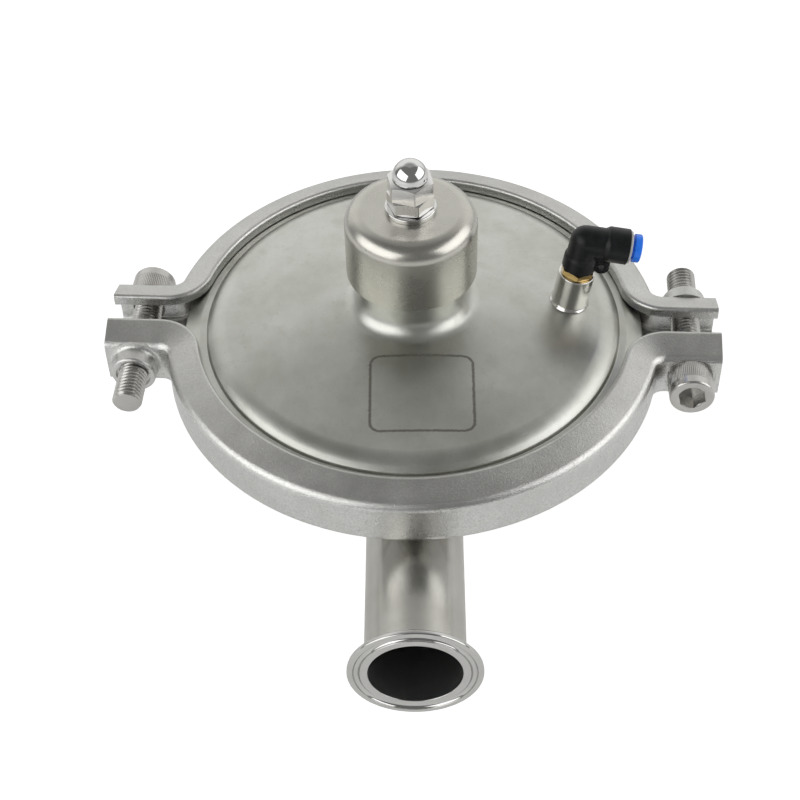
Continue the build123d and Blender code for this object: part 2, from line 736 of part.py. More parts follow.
# Push-in elbow body: skirt over the stud, round corner, barrel and the mounting eye
elbow_bottom = stud_hex_top + swivel_gap
barrel_origin = air_frame.offset(elbow_height).origin
barrel_section = Plane(origin=barrel_origin, x_dir=air_frame.x_dir, z_dir=-air_frame.y_dir)
barrel_axis = Axis(barrel_origin, air_frame.x_dir)
barrel_plane = Plane(origin=barrel_origin, x_dir=air_frame.y_dir, z_dir=air_frame.x_dir)
with BuildPart() as elbow_body:
    with BuildSketch(air_section):
        with BuildLine():
            Polyline(
                (0, elbow_bottom),
                (elbow_skirt_radius, elbow_bottom),
                (elbow_skirt_radius, elbow_bottom + elbow_skirt_length),
                (elbow_neck_radius, elbow_bottom + elbow_skirt_length + elbow_barrel_chamfer),
                (elbow_neck_radius, elbow_height),
            )
            CenterArc((0, elbow_height), elbow_neck_radius, 0, 90)
            Line((0, elbow_height + elbow_neck_radius), (0, elbow_bottom))
        make_face()
    revolve(axis=air_axis)
    with BuildSketch(barrel_section):
        with BuildLine():
            Polyline(
                (0, 0),
                (0, elbow_neck_radius),
                (elbow_barrel_start - elbow_barrel_chamfer, elbow_neck_radius),
                (elbow_barrel_start, elbow_barrel_radius),
                (elbow_barrel_end, elbow_barrel_radius),
                (elbow_barrel_end, 0),
                close=True,
            )
        make_face()
    revolve(axis=barrel_axis)
    with BuildSketch(air_section):
        with Locations((elbow_eye_reach, elbow_height - elbow_eye_drop)):
            Circle(elbow_eye_radius)
            with Locations((0, elbow_eye_drop / 4)):
                Rectangle(2 * elbow_eye_radius, elbow_eye_drop / 2)
    extrude(amount=elbow_eye_half_thickness, both=True)
    with BuildSketch(air_section):
        with Locations((elbow_eye_reach, elbow_height - elbow_eye_drop)):
            Circle(elbow_eye_hole_radius)
    extrude(amount=elbow_eye_half_thickness, both=True, mode=Mode.SUBTRACT)
    with BuildSketch(air_frame.offset(elbow_bottom)):
        Circle(stud_spigot_radius + swivel_fit)
    extrude(amount=stud_spigot_length + swivel_gap, mode=Mode.SUBTRACT)
    with BuildSketch(air_frame.offset(elbow_bottom)):
        Circle(air_hole_radius)
    extrude(amount=elbow_height - elbow_bottom, mode=Mode.SUBTRACT)
    with BuildSketch(barrel_plane):
        Circle(air_hole_radius)
    extrude(amount=socket_bottom, mode=Mode.SUBTRACT)
    with BuildSketch(barrel_plane.offset(socket_bottom)):
        Circle(socket_radius)
    extrude(amount=elbow_barrel_end - socket_bottom, mode=Mode.SUBTRACT)
elbow_body.part.label = "elbow_body"

# Tube seal and retaining ring inside the barrel, and the collar that releases the tube
air_bore_radius = air_tube_radius + air_tube_clearance
with BuildPart() as tube_seal:
    with BuildSketch(barrel_plane.offset(socket_bottom)):
        Circle(socket_radius)
        Circle(air_bore_radius, mode=Mode.SUBTRACT)
    extrude(amount=tube_seal_length)
tube_seal.part.label = "tube_seal"

retainer_face = elbow_barrel_end + retainer_lip
retainer_bore_radius = collar_sleeve_radius + collar_fit
with BuildPart() as tube_retainer:
    with BuildSketch(barrel_plane.offset(elbow_barrel_end - retainer_length)):
        Circle(socket_radius)
    extrude(amount=retainer_length)
    with BuildSketch(barrel_plane.offset(elbow_barrel_end)):
        Circle(retainer_radius)
    extrude(amount=retainer_lip)
    with BuildSketch(barrel_plane.offset(elbow_barrel_end - retainer_length)):
        Circle(retainer_bore_radius)
    extrude(amount=retainer_length + retainer_lip, mode=Mode.SUBTRACT)
tube_retainer.part.label = "tube_retainer"

collar_flange_start = retainer_face + collar_travel + collar_gap
with BuildPart() as release_collar:
    with BuildSketch(barrel_plane.offset(collar_flange_start)):
        Circle(collar_flange_radius)
    extrude(amount=collar_flange_length)
    with BuildSketch(barrel_plane.offset(collar_flange_start)):
        Circle(collar_sleeve_radius)
    extrude(amount=-collar_sleeve_length)
    with BuildSketch(barrel_plane.offset(collar_flange_start + collar_flange_length)):
        Circle(air_bore_radius)
    extrude(amount=-(collar_flange_length + collar_sleeve_length), mode=Mode.SUBTRACT)
release_collar.part.label = "release_collar"

# One file for each piece, named after it
os.makedirs("parts", exist_ok=True)
built_pieces = [
    bowl, barrel, seat_ring, inlet_tube, outlet_tube, cover, turret, guide_bush,
    stem_seal,
    stop_screw, nut_washer, lock_nut, cap_nut, support_sectors, hub_nut, stem, plug,
    clamp_front, clamp_rear, clamp_screws, air_stub, elbow_stud, swivel_seal, elbow_body,
    tube_seal, tube_retainer, release_collar,
]
ring_pieces = [
    inlet_ferrule, outlet_ferrule, lower_diaphragm, upper_diaphragm, support_ring,
    hub_spacer, lower_hub, upper_hub, plug_seal,
]
for piece in [built.part for built in built_pieces] + ring_pieces:
    export_step(piece, f"parts/{piece.label}.step")
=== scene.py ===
"""Looks of the constant pressure valve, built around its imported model, with +Z up the valve axis.

Named sizes are in mm, and times MM they are in Blender's metres.
"""

import math

import bmesh
import bpy
from mathutils import Matrix, Vector


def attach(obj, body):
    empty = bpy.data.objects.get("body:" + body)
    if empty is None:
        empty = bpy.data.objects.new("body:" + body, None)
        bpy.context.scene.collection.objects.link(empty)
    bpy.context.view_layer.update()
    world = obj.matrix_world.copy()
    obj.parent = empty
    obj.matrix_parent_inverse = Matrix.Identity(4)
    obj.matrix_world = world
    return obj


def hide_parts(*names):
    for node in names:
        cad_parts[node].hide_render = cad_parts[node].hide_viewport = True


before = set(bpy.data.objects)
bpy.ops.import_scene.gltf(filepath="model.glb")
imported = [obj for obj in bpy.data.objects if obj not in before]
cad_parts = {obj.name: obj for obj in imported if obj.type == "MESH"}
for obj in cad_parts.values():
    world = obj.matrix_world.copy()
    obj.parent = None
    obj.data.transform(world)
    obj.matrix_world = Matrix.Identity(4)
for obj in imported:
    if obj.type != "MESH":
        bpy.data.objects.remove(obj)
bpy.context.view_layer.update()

# Bowl and barrel. A pressed stainless bowl with a machined rim, welded to a straight barrel that
# narrows to the outlet and takes the inlet tube in front. Both are bead-blasted all over.
MM = 0.001
CLAMP_SLOPE = math.tan(math.radians(20.0))
JOINT_HEIGHT = 108.5
STACK_HEIGHT = 5.5
RIM_HALF = 8.8
RIM_RADIUS = 93.0
RIM_FLAT_RADIUS = 86.5
RIM_TAPER_DROP = (RIM_RADIUS - RIM_FLAT_RADIUS) * CLAMP_SLOPE
RIM_BOTTOM = JOINT_HEIGHT - RIM_HALF
SHOULDER_RADIUS = 83.5
CHAMBER_RADIUS = 81.5
BOWL_FACE = JOINT_HEIGHT - STACK_HEIGHT / 2
BOWL_EDGE = RIM_BOTTOM - 1.6
BOWL_BARREL = BOWL_EDGE - 4.25
BOWL_WALL = 2.5
BARREL_RADIUS = 35.0
BARREL_BORE = 33.0
BARREL_BOTTOM = 48.0
TUBE_RADIUS = 19.05
TUBE_BORE = 17.55
REDUCER_BOTTOM = BARREL_BOTTOM - (BARREL_RADIUS - TUBE_RADIUS)
REDUCER_BORE_BOTTOM = BARREL_BOTTOM - (BARREL_BORE - TUBE_BORE)
INLET_HEIGHT = 74.0
MERGE_GAP = 0.002 * MM
SHARP_ANGLE = math.radians(38.0)


def settle(work, name):
    """Turns a bmesh into a finished piece: closed, facing outwards, smooth with crisp edges."""
    bmesh.ops.remove_doubles(work, verts=work.verts, dist=MERGE_GAP)
    bmesh.ops.recalc_face_normals(work, faces=work.faces)
    mesh = bpy.data.meshes.new(name)
    work.to_mesh(mesh)
    work.free()
    mesh.shade_smooth()
    mesh.set_sharp_from_angle(angle=SHARP_ANGLE)
    piece = bpy.data.objects.new(name, mesh)
    bpy.context.scene.collection.objects.link(piece)
    shading = piece.modifiers.new("even_shading", "WEIGHTED_NORMAL")
    shading.keep_sharp = True
    shading.weight = 60
    return piece


def round_edges(work, edges, setback, steps):
    """Rounds edges, starting a setback in mm away from each."""
    bmesh.ops.bevel(
        work, geom=edges, offset=setback * MM, segments=steps, profile=0.5, affect="EDGES", material=-1
    )


def on_circle(vert, radius, height):
    """Says whether a point lies on the circle of a radius and a height in mm about Z."""
    off_radius = abs(math.hypot(vert.co.x, vert.co.y) - radius * MM)
    off_height = abs(vert.co.z - height * MM)
    return max(off_radius, off_height) < 0.01 * MM


def lathe(outline, rounds=(), segments=192, place=Matrix.Identity(4), closed=True):
    """Spins (radius, height) points in mm about Z and rounds each (corner, setback, steps) named."""
    work = bmesh.new()
    corners = [work.verts.new((radius * MM, 0, height * MM)) for radius, height in outline]
    edges = [work.edges.new(pair) for pair in zip(corners, corners[1:])]
    if closed:
        edges.append(work.edges.new((corners[-1], corners[0])))
    bmesh.ops.spin(
        work,
        geom=corners + edges,
        cent=(0, 0, 0),
        axis=(0, 0, 1),
        angle=math.tau,
        steps=segments,
        use_merge=True,
    )
    bmesh.ops.remove_doubles(work, verts=work.verts, dist=MERGE_GAP)
    for index, setback, steps in rounds:
        radius, height = outline[index]
        ring = [edge for edge in work.edges if all(on_circle(vert, radius, height) for vert in edge.verts)]
        round_edges(work, ring, setback, steps)
    bmesh.ops.transform(work, matrix=place, verts=work.verts)
    return work


def cut(piece, tool_work, operation="DIFFERENCE"):
    """Cuts a tool shape out of a piece, or joins it on, and keeps the result as plain mesh."""
    bmesh.ops.recalc_face_normals(tool_work, faces=tool_work.faces)
    tool_mesh = bpy.data.meshes.new("cutting_tool")
    tool_work.to_mesh(tool_mesh)
    tool_work.free()
    tool = bpy.data.objects.new("cutting_tool", tool_mesh)
    bpy.context.scene.collection.objects.link(tool)
    step = piece.modifiers.new("cut", "BOOLEAN")
    step.operation = operation
    step.solver = "EXACT"
    step.object = tool
    shading = piece.modifiers["even_shading"]
    shading.show_viewport = False
    depsgraph = bpy.context.evaluated_depsgraph_get()
    result = bpy.data.meshes.new_from_object(piece.evaluated_get(depsgraph))
    shading.show_viewport = True
    piece.modifiers.remove(step)
    uncut = piece.data
    piece.data = result
    bpy.data.meshes.remove(uncut)
    bpy.data.objects.remove(tool)
    bpy.data.meshes.remove(tool_mesh)
    result.name = piece.name
    result.shade_smooth()
    result.set_sharp_from_angle(angle=SHARP_ANGLE)


def prism(sides, radius, length, place):
    """Straight bar with a number of sides and its middle at a place, sizes in mm."""
    work = bmesh.new()
    bmesh.ops.create_cone(
        work,
        cap_ends=True,
        segments=sides,
        radius1=radius * MM,
        radius2=radius * MM,
        depth=length * MM,
        matrix=place,
    )
    return work


def rod(radius, start, end, segments=96):
    """Round bar between two points in mm, used for tubes and as a cutting tool for bores."""
    start = Vector(start) * MM
    end = Vector(end) * MM
    turn = (end - start).to_track_quat("Z", "Y").to_matrix().to_4x4()
    return prism(segments, radius, (end - start).length / MM, Matrix.Translation((start + end) / 2) @ turn)


def node_adder(tree):
    """Gives a short way to add nodes to one tree, with their settings, values and links."""

    def add(kind, inputs=None, **settings):
        node = tree.nodes.new(kind)
        for key, value in settings.items():
            setattr(node, key, value)
        for key, value in (inputs or {}).items():
            if isinstance(value, bpy.types.NodeSocket):
                tree.links.new(value, node.inputs[key])
            else:
                node.inputs[key].default_value = value
        return node

    return add


def new_finish(name):
    """Node material with its principled shader, and short ways to add nodes and join them to it."""
    material = bpy.data.materials.new(name)
    material.use_nodes = True
    tree = material.node_tree
    shader = tree.nodes["Principled BSDF"]

    def join(output, key):
        tree.links.new(output, shader.inputs[key])

    return material, shader, node_adder(tree), join


def millimetre_space(add, stretch=(1, 1, 1)):
    """Object coordinates in mm, stretched for grain that runs one way."""
    place = add("ShaderNodeTexCoord").outputs["Object"]
    scale = tuple(factor / MM for factor in stretch)
    return add("ShaderNodeMapping", {"Vector": place, "Scale": scale}).outputs["Vector"]


def graded(add, value, low, high, edges=(0.0, 1.0), **settings):
    """Takes a pattern from between its two edges to a range from low to high."""
    reach = {"Value": value, "From Min": edges[0], "From Max": edges[1], "To Min": low, "To Max": high}
    return add("ShaderNodeMapRange", reach, **settings).outputs["Result"]


def speckle(add, space, size, detail=3.0, rough=0.55, low=0.0, high=1.0, edges=(0.3, 0.7)):
    """Noise of one grain size in mm, stretched from low to high."""
    grain = {"Vector": space, "Scale": 1.0 / size, "Detail": detail, "Roughness": rough}
    return graded(add, add("ShaderNodeTexNoise", grain).outputs["Fac"], low, high, edges)


def arithmetic(add, operation, *values):
    """One step of arithmetic between sockets or numbers."""
    return add("ShaderNodeMath", dict(enumerate(values)), operation=operation).outputs[0]


MIX_FIRST_COLOUR = 6
MIX_SECOND_COLOUR = 7
MIX_COLOUR_RESULT = 2


def blend_colour(add, share, first, second):
    """Mixes two colours, either of which may be a socket."""
    inputs = {"Factor": share}
    for key, colour in ((MIX_FIRST_COLOUR, first), (MIX_SECOND_COLOUR, second)):
        inputs[key] = colour if isinstance(colour, bpy.types.NodeSocket) else (*colour, 1.0)
    return add("ShaderNodeMix", inputs, data_type="RGBA").outputs[MIX_COLOUR_RESULT]


def layer(add, tone, colour, pattern, strength):
    """Lays a colour over a tone where a pattern says, at a strength."""
    return blend_colour(add, arithmetic(add, "MULTIPLY", pattern, strength), tone, colour)


def darker(colour, share):
    """The same colour with this share of its light."""
    return tuple(part * share for part in colour)


def set_skin(add, join, rough, height, depth):
    """Gives a finish its roughness and a fine relief with a depth in mm."""
    join(rough, "Roughness")
    relief = add("ShaderNodeBump", {"Height": height, "Distance": depth * MM, "Strength": 1.0})
    join(relief.outputs["Normal"], "Normal")


def blasted_steel(
    name, light, dark, rough_low, rough_high, grain=0.25, grain_depth=0.012, line_stretch=(1, 1, 1)
):
    """Stainless steel with a blasted or brushed skin: cloudy handling marks over a fine even grain."""
    material, shader, add, join = new_finish(name)
    space = millimetre_space(add)
    lined = millimetre_space(add, stretch=line_stretch)
    clouds = speckle(add, space, 22.0, detail=4.0, rough=0.6)
    smears = speckle(add, space, 5.0, detail=5.0, rough=0.65)
    fine = speckle(add, lined, grain, detail=2.0, rough=0.5, edges=(0.25, 0.75))
    tone = blend_colour(add, clouds, dark, light)
    tone = layer(add, tone, dark, smears, 0.35)
    tone = layer(add, tone, darker(dark, 0.7), fine, 0.25)
    join(tone, "Base Color")
    shader.inputs["Metallic"].default_value = 1.0
    wear = arithmetic(add, "MULTIPLY_ADD", clouds, 0.5, arithmetic(add, "MULTIPLY", smears, 0.5))
    set_skin(add, join, graded(add, wear, rough_low, rough_high), fine, grain_depth)
    return material


def finish_piece(piece, material, body, slot, *nodes):
    """Gives a piece its material, the body it rides on and the nodes it stands for; its record slot is not
    used.
    """
    piece.data.materials.clear()
    piece.data.materials.append(material)
    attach(piece, body)
    if nodes:
        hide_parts(*nodes)


satin = blasted_steel(
    "satin_steel", (0.62, 0.60, 0.56), (0.50, 0.485, 0.45), 0.27, 0.36, line_stretch=(0.15, 0.15, 1.6)
)
bowl = settle(
    lathe(
        [
            (CHAMBER_RADIUS, BOWL_FACE),
            (RIM_RADIUS, BOWL_FACE),
            (RIM_RADIUS, RIM_BOTTOM + RIM_TAPER_DROP),
            (RIM_FLAT_RADIUS, RIM_BOTTOM),
            (SHOULDER_RADIUS, RIM_BOTTOM),
            (SHOULDER_RADIUS - 0.6, BOWL_EDGE),
            (BARREL_RADIUS, BOWL_BARREL),
            (BARREL_RADIUS, BARREL_BOTTOM),
            (TUBE_RADIUS, REDUCER_BOTTOM),
            (TUBE_BORE, REDUCER_BOTTOM),
            (TUBE_BORE, REDUCER_BORE_BOTTOM),
            (BARREL_BORE, BARREL_BOTTOM),
            (BARREL_BORE, BOWL_BARREL + BOWL_WALL),
            (CHAMBER_RADIUS, BOWL_EDGE + BOWL_WALL),
        ],
        rounds=((1, 0.4, 3), (2, 0.4, 3), (5, 0.5, 3), (6, 2.5, 6), (7, 2.0, 6), (8, 1.0, 4)),
    ),
    "bowl_and_barrel",
)
cut(bowl, rod(TUBE_BORE, (0, -BARREL_RADIUS - 5, INLET_HEIGHT), (0, 0, INLET_HEIGHT)))
finish_piece(bowl, satin, "housing", "satin_steel", "bowl", "barrel")

# Inlet and outlet. Drawn stainless tube with a turned clamp ferrule welded to its end; the face and
# gasket groove of the ferrule are polished, its neck and the tube keep a fine drawn satin skin.
INLET_REACH = 141.5
PORT_LENGTH = 12.7
WELD_BITE = 0.2
FLANGE_RADIUS = 25.25
FLANGE_EDGE = 2.0
FLANGE_TAPER = (FLANGE_RADIUS - TUBE_RADIUS) * CLAMP_SLOPE
GROOVE_RADIUS = 21.8
GROOVE_HALF = 1.3
GROOVE_STEPS = 10
NECK_START = 5.5
BORE_MOUTH = 0.5
BORE_MARGIN = 0.3


def shifted(x, y, z):
    """Move by three distances in mm."""
    return Matrix.Translation((x * MM, y * MM, z * MM))


def turned(degrees, axis):
    """Turn about one axis through the origin."""
    return Matrix.Rotation(math.radians(degrees), 4, axis)


def extra_finish(piece, material, chosen, place=Matrix.Identity(4)):
    """Adds a material for the faces that are chosen by their middle, in mm as seen from a place."""
    back = place.inverted()
    piece.data.materials.append(material)
    for face in piece.data.polygons:
        if chosen(back @ face.center / MM):
            face.material_index = len(piece.data.materials) - 1


def in_bore(at):
    """Says whether a point in mm lies on the bore of a tube along local Z."""
    return math.hypot(at.x, at.y) < TUBE_BORE + BORE_MARGIN


drawn = blasted_steel(
    "drawn_tube", (0.58, 0.575, 0.54), (0.47, 0.46, 0.42), 0.20, 0.27, grain=0.4, grain_depth=0.003
)
bore_skin = blasted_steel(
    "bore_skin", (0.60, 0.61, 0.60), (0.50, 0.51, 0.50), 0.28, 0.34, grain=0.4, grain_depth=0.001
)
inlet_place = shifted(0, -INLET_REACH, INLET_HEIGHT) @ turned(-90.0, "X")
ferrule_end = (0, -INLET_REACH + PORT_LENGTH, INLET_HEIGHT)
inlet_pipe_work = rod(TUBE_RADIUS, ferrule_end, (0, 0, INLET_HEIGHT), segments=128)
for vert in inlet_pipe_work.verts:
    if vert.co.y > -BARREL_RADIUS * MM:
        vert.co.y = -math.sqrt((BARREL_RADIUS * MM) ** 2 - vert.co.x**2) + WELD_BITE * MM
inlet_pipe = settle(inlet_pipe_work, "inlet_pipe")
cut(inlet_pipe, rod(TUBE_BORE, (0, -INLET_REACH, INLET_HEIGHT), (0, 0, INLET_HEIGHT), segments=128))
finish_piece(inlet_pipe, drawn, "housing", "satin_steel", "inlet_tube")
extra_finish(inlet_pipe, bore_skin, in_bore, inlet_place)

outlet_pipe = settle(
    lathe(
        [
            (TUBE_BORE, PORT_LENGTH),
            (TUBE_RADIUS, PORT_LENGTH),
            (TUBE_RADIUS, REDUCER_BOTTOM),
            (TUBE_BORE, REDUCER_BOTTOM),
        ],
        segments=128,
    ),
    "outlet_pipe",
)
finish_piece(outlet_pipe, drawn, "housing", "satin_steel", "outlet_tube")
extra_finish(outlet_pipe, bore_skin, in_bore)

groove = [
    (GROOVE_RADIUS + GROOVE_HALF * math.cos(turn), GROOVE_HALF * math.sin(turn))
    for turn in [math.pi * step / GROOVE_STEPS for step in range(GROOVE_STEPS, -1, -1)]
]
after_groove = len(groove) + 1


def port_flange(name, place, node):
    """Clamp ferrule with its face at the origin of a place and its neck towards the place's +Z."""
    flange = settle(
        lathe(
            [
                (TUBE_BORE, 0),
                *groove,
                (FLANGE_RADIUS, 0),
                (FLANGE_RADIUS, FLANGE_EDGE),
                (TUBE_RADIUS, FLANGE_EDGE + FLANGE_TAPER),
                (TUBE_RADIUS, PORT_LENGTH),
                (TUBE_BORE, PORT_LENGTH),
            ],
            rounds=(
                (0, 0.3, 3),
                (1, 0.25, 3),
                (after_groove - 1, 0.25, 3),
                (after_groove, 0.6, 4),
                (after_groove + 1, 0.6, 4),
                (after_groove + 2, 1.5, 6),
            ),
            segments=160,
            place=place,
        ),
        name,
    )
    finish_piece(flange, polished, "housing", "polished_steel", node)
    extra_finish(flange, drawn, lambda at: at.z > NECK_START, place)
    extra_finish(flange, bore_skin, lambda at: in_bore(at) and at.z > BORE_MOUTH, place)


def polished_steel(name, colour, roughness):
    """Buffed stainless steel or brass: nearly a mirror, with faint wiping marks and pin-point pits."""
    material, shader, add, join = new_finish(name)
    space = millimetre_space(add)
    cloud = speckle(add, space, 7.0, detail=4.0, rough=0.6)
    pit = speckle(add, space, 0.35, detail=1.0, edges=(0.62, 0.78))
    tone = blend_colour(add, cloud, colour, darker(colour, 0.93))
    tone = layer(add, tone, darker(colour, 0.6), pit, 0.3)
    join(tone, "Base Color")
    shader.inputs["Metallic"].default_value = 1.0
    set_skin(add, join, graded(add, cloud, roughness * 0.8, roughness * 1.3), cloud, 0.004)
    return material


polished = polished_steel("polished_steel", (0.58, 0.575, 0.56), 0.09)
port_flange("inlet_flange", inlet_place, "inlet_ferrule")
port_flange("outlet_flange", Matrix.Identity(4), "outlet_ferrule")

# Seat, plug and diaphragm unit. Turned stainless pieces between two sheets clamped at the rim;
# they stay as model.glb has them and show only through the ports and the clamp's gap.
turned_steel = blasted_steel(
    "turned_steel",
    (0.60, 0.585, 0.56),
    (0.48, 0.47, 0.45),
    0.22,
    0.32,
    grain=0.2,
    line_stretch=(0.1, 0.1, 3.0),
)


def moulded(name, colour, rough_low, rough_high, grain, grain_depth, shade=0.7):
    """Moulded or pressed rubber and plastic: one colour with a faint mottle and a fine skin."""
    material, shader, add, join = new_finish(name)
    space = millimetre_space(add)
    mottle = speckle(add, space, 3.0, detail=4.0)
    fine = speckle(add, space, grain, detail=2.0)
    join(blend_colour(add, mottle, darker(colour, shade), colour), "Base Color")
    set_skin(add, join, graded(add, mottle, rough_low, rough_high), fine, grain_depth)
    return material


black_rubber = moulded("black_rubber", (0.03, 0.03, 0.03), 0.5, 0.7, 0.4, 0.01)
white_polymer = moulded("white_polymer", (0.80, 0.80, 0.77), 0.4, 0.55, 0.5, 0.008, shade=0.9)
turned_nodes = (
    "seat_ring",
    "stem",
    "plug",
    "lower_hub",
    "upper_hub",
    "hub_spacer",
    "hub_nut",
    "support_ring",
    "support_sectors",
    "stop_screw",
)
for finish, nodes in (
    (turned_steel, turned_nodes),
    (black_rubber, ("upper_diaphragm", "stem_seal", "swivel_seal", "tube_seal")),
    (white_polymer, ("lower_diaphragm", "plug_seal", "guide_bush")),
):
    for node in nodes:
        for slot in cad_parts[node].material_slots:
            slot.material = finish

# Cover. A pressed stainless dish with a rounded shoulder over a flat machined rim, blasted to an
# even satin, with handling stains and a plain etched frame in front; its neck carries the turret.
COVER_ANGLE = math.radians(8.4)
COVER_RISE = math.tan(COVER_ANGLE)
COVER_DROP = 2.0 / math.cos(COVER_ANGLE)
COVER_FACE = JOINT_HEIGHT + STACK_HEIGHT / 2
RIM_TOP = JOINT_HEIGHT + RIM_HALF
COVER_EDGE = RIM_TOP + 4.3
SHOULDER_FOOT = 1.2
SHOULDER_RUN = 4.8
NECK_RADIUS = 21.0
NECK_TOP = 160.0
BUSH_RADIUS = 12.0
BUSH_FLANGE = 15.0
BUSH_SEAT = NECK_TOP - 4.0
ETCHED_CENTRE = (3.5, -49.0)
ETCHED_HALF = (19.8, 17.5)
ETCHED_ROUND = 4.0
ETCHED_LINE_EDGES = (0.36, 0.71)
ETCHED_WOBBLE = 0.2
ETCHED_DEPTH = 1.5


def cover_height(radius):
    """Height of the dish's outer face at a distance from the axis, in mm."""
    return COVER_EDGE + (SHOULDER_RADIUS - radius) * COVER_RISE


def etched_frame(add, space):
    """Share of the etched rounded square on top of the dish: one on its thin line, nought off it."""
    parts = add("ShaderNodeSeparateXYZ", {"Vector": space}).outputs
    reaches = []
    for axis in range(2):
        size = arithmetic(add, "ABSOLUTE", arithmetic(add, "SUBTRACT", parts[axis], ETCHED_CENTRE[axis]))
        reaches.append(arithmetic(add, "SUBTRACT", size, ETCHED_HALF[axis] - ETCHED_ROUND))
    outside = [arithmetic(add, "MAXIMUM", reach, 0.0) for reach in reaches]
    squares = [arithmetic(add, "MULTIPLY", reach, reach) for reach in outside]
    corner = arithmetic(add, "SQRT", arithmetic(add, "ADD", *squares))
    inside = arithmetic(add, "MINIMUM", arithmetic(add, "MAXIMUM", *reaches), 0.0)
    distance = arithmetic(add, "SUBTRACT", arithmetic(add, "ADD", corner, inside), ETCHED_ROUND)
    wobble = speckle(add, space, 0.8, low=-ETCHED_WOBBLE, high=ETCHED_WOBBLE)
    away = arithmetic(add, "ABSOLUTE", arithmetic(add, "ADD", distance, wobble))
    line = graded(add, away, 1.0, 0.0, ETCHED_LINE_EDGES)
    above_rim = arithmetic(add, "GREATER_THAN", parts[2], RIM_TOP + 1.0)
    return arithmetic(add, "MULTIPLY", line, above_rim)


def cover_steel(name):
    """Satin stainless dish: broad clouds, small dark stains, faint streaks and the etched frame."""
    material, shader, add, join = new_finish(name)
    space = millimetre_space(add)
    clouds = speckle(add, space, 26.0, detail=5.0, rough=0.62)
    stains = speckle(add, space, 9.0, detail=6.0, rough=0.7, edges=(0.52, 0.75))
    lined = millimetre_space(add, stretch=(1.0, 0.35, 1.0))
    streaks = speckle(add, lined, 3.0, detail=4.0, edges=(0.35, 0.75))
    fine = speckle(add, space, 0.22, detail=2.0)
    spots = speckle(add, space, 1.1, detail=0.0, edges=(0.74, 0.82))
    etched = etched_frame(add, space)
    tone = blend_colour(add, clouds, (0.455, 0.460, 0.415), (0.610, 0.615, 0.580))
    for colour, pattern, strength in (
        ((0.40, 0.40, 0.35), stains, 0.45),
        ((0.62, 0.61, 0.58), streaks, 0.18),
        ((0.36, 0.36, 0.34), fine, 0.2),
        ((0.30, 0.29, 0.27), spots, 0.22),
        ((0.10, 0.09, 0.07), etched, 0.72),
    ):
        tone = layer(add, tone, colour, pattern, strength)
    join(tone, "Base Color")
    shader.inputs["Metallic"].default_value = 1.0
    wear = arithmetic(add, "MULTIPLY_ADD", clouds, 0.4, arithmetic(add, "MULTIPLY", stains, 0.6))
    rough = arithmetic(add, "MULTIPLY_ADD", etched, 0.2, graded(add, wear, 0.30, 0.42))
    set_skin(add, join, rough, arithmetic(add, "MULTIPLY_ADD", etched, -ETCHED_DEPTH, fine), 0.012)
    return material


cover_shell = settle(
    lathe(
        [
            (CHAMBER_RADIUS, COVER_FACE),
            (RIM_RADIUS, COVER_FACE),
            (RIM_RADIUS, RIM_TOP - RIM_TAPER_DROP),
            (RIM_FLAT_RADIUS, RIM_TOP),
            (SHOULDER_RADIUS, RIM_TOP),
            (SHOULDER_RADIUS, RIM_TOP + SHOULDER_FOOT),
            (SHOULDER_RADIUS - SHOULDER_RUN, cover_height(SHOULDER_RADIUS - SHOULDER_RUN)),
            (NECK_RADIUS, cover_height(NECK_RADIUS)),
            (NECK_RADIUS, NECK_TOP),
            (BUSH_FLANGE, NECK_TOP),
            (BUSH_FLANGE, BUSH_SEAT),
            (BUSH_RADIUS, BUSH_SEAT),
            (BUSH_RADIUS, cover_height(BUSH_RADIUS) - COVER_DROP),
            (CHAMBER_RADIUS, COVER_EDGE - COVER_DROP),
        ],
        rounds=((1, 0.4, 3), (2, 0.4, 3), (3, 0.5, 3), (4, 0.5, 3), (5, 0.9, 4), (6, 3.6, 12), (7, 6.6, 14)),
        segments=256,
    ),
    "cover_shell",
)
finish_piece(cover_shell, cover_steel("cover_steel"), "housing", "cover_steel", "cover")

# Turret. A turned stainless cap screwed over the neck, blasted to a fine satin, its top edge well
# rounded and its bottom lip left sharp.
TURRET_RADIUS = 25.7
TURRET_BORE = NECK_RADIUS + 0.05
TURRET_BOTTOM = 147.0
TURRET_TOP = 176.5
STOP_BORE = 4.95
turret_steel = blasted_steel(
    "turret_steel", (0.60, 0.59, 0.54), (0.50, 0.49, 0.445), 0.25, 0.31, grain=0.4, grain_depth=0.004
)
turret_cap = settle(
    lathe(
        [
            (TURRET_BORE, TURRET_BOTTOM),
            (TURRET_RADIUS, TURRET_BOTTOM),
            (TURRET_RADIUS, TURRET_TOP),
            (STOP_BORE, TURRET_TOP),
            (STOP_BORE, NECK_TOP),
            (TURRET_BORE, NECK_TOP),
        ],
        rounds=((1, 0.25, 3), (2, 7.0, 18)),
        segments=256,
    ),
    "turret_cap",
)
finish_piece(turret_cap, turret_steel, "housing", "satin_steel", "turret")

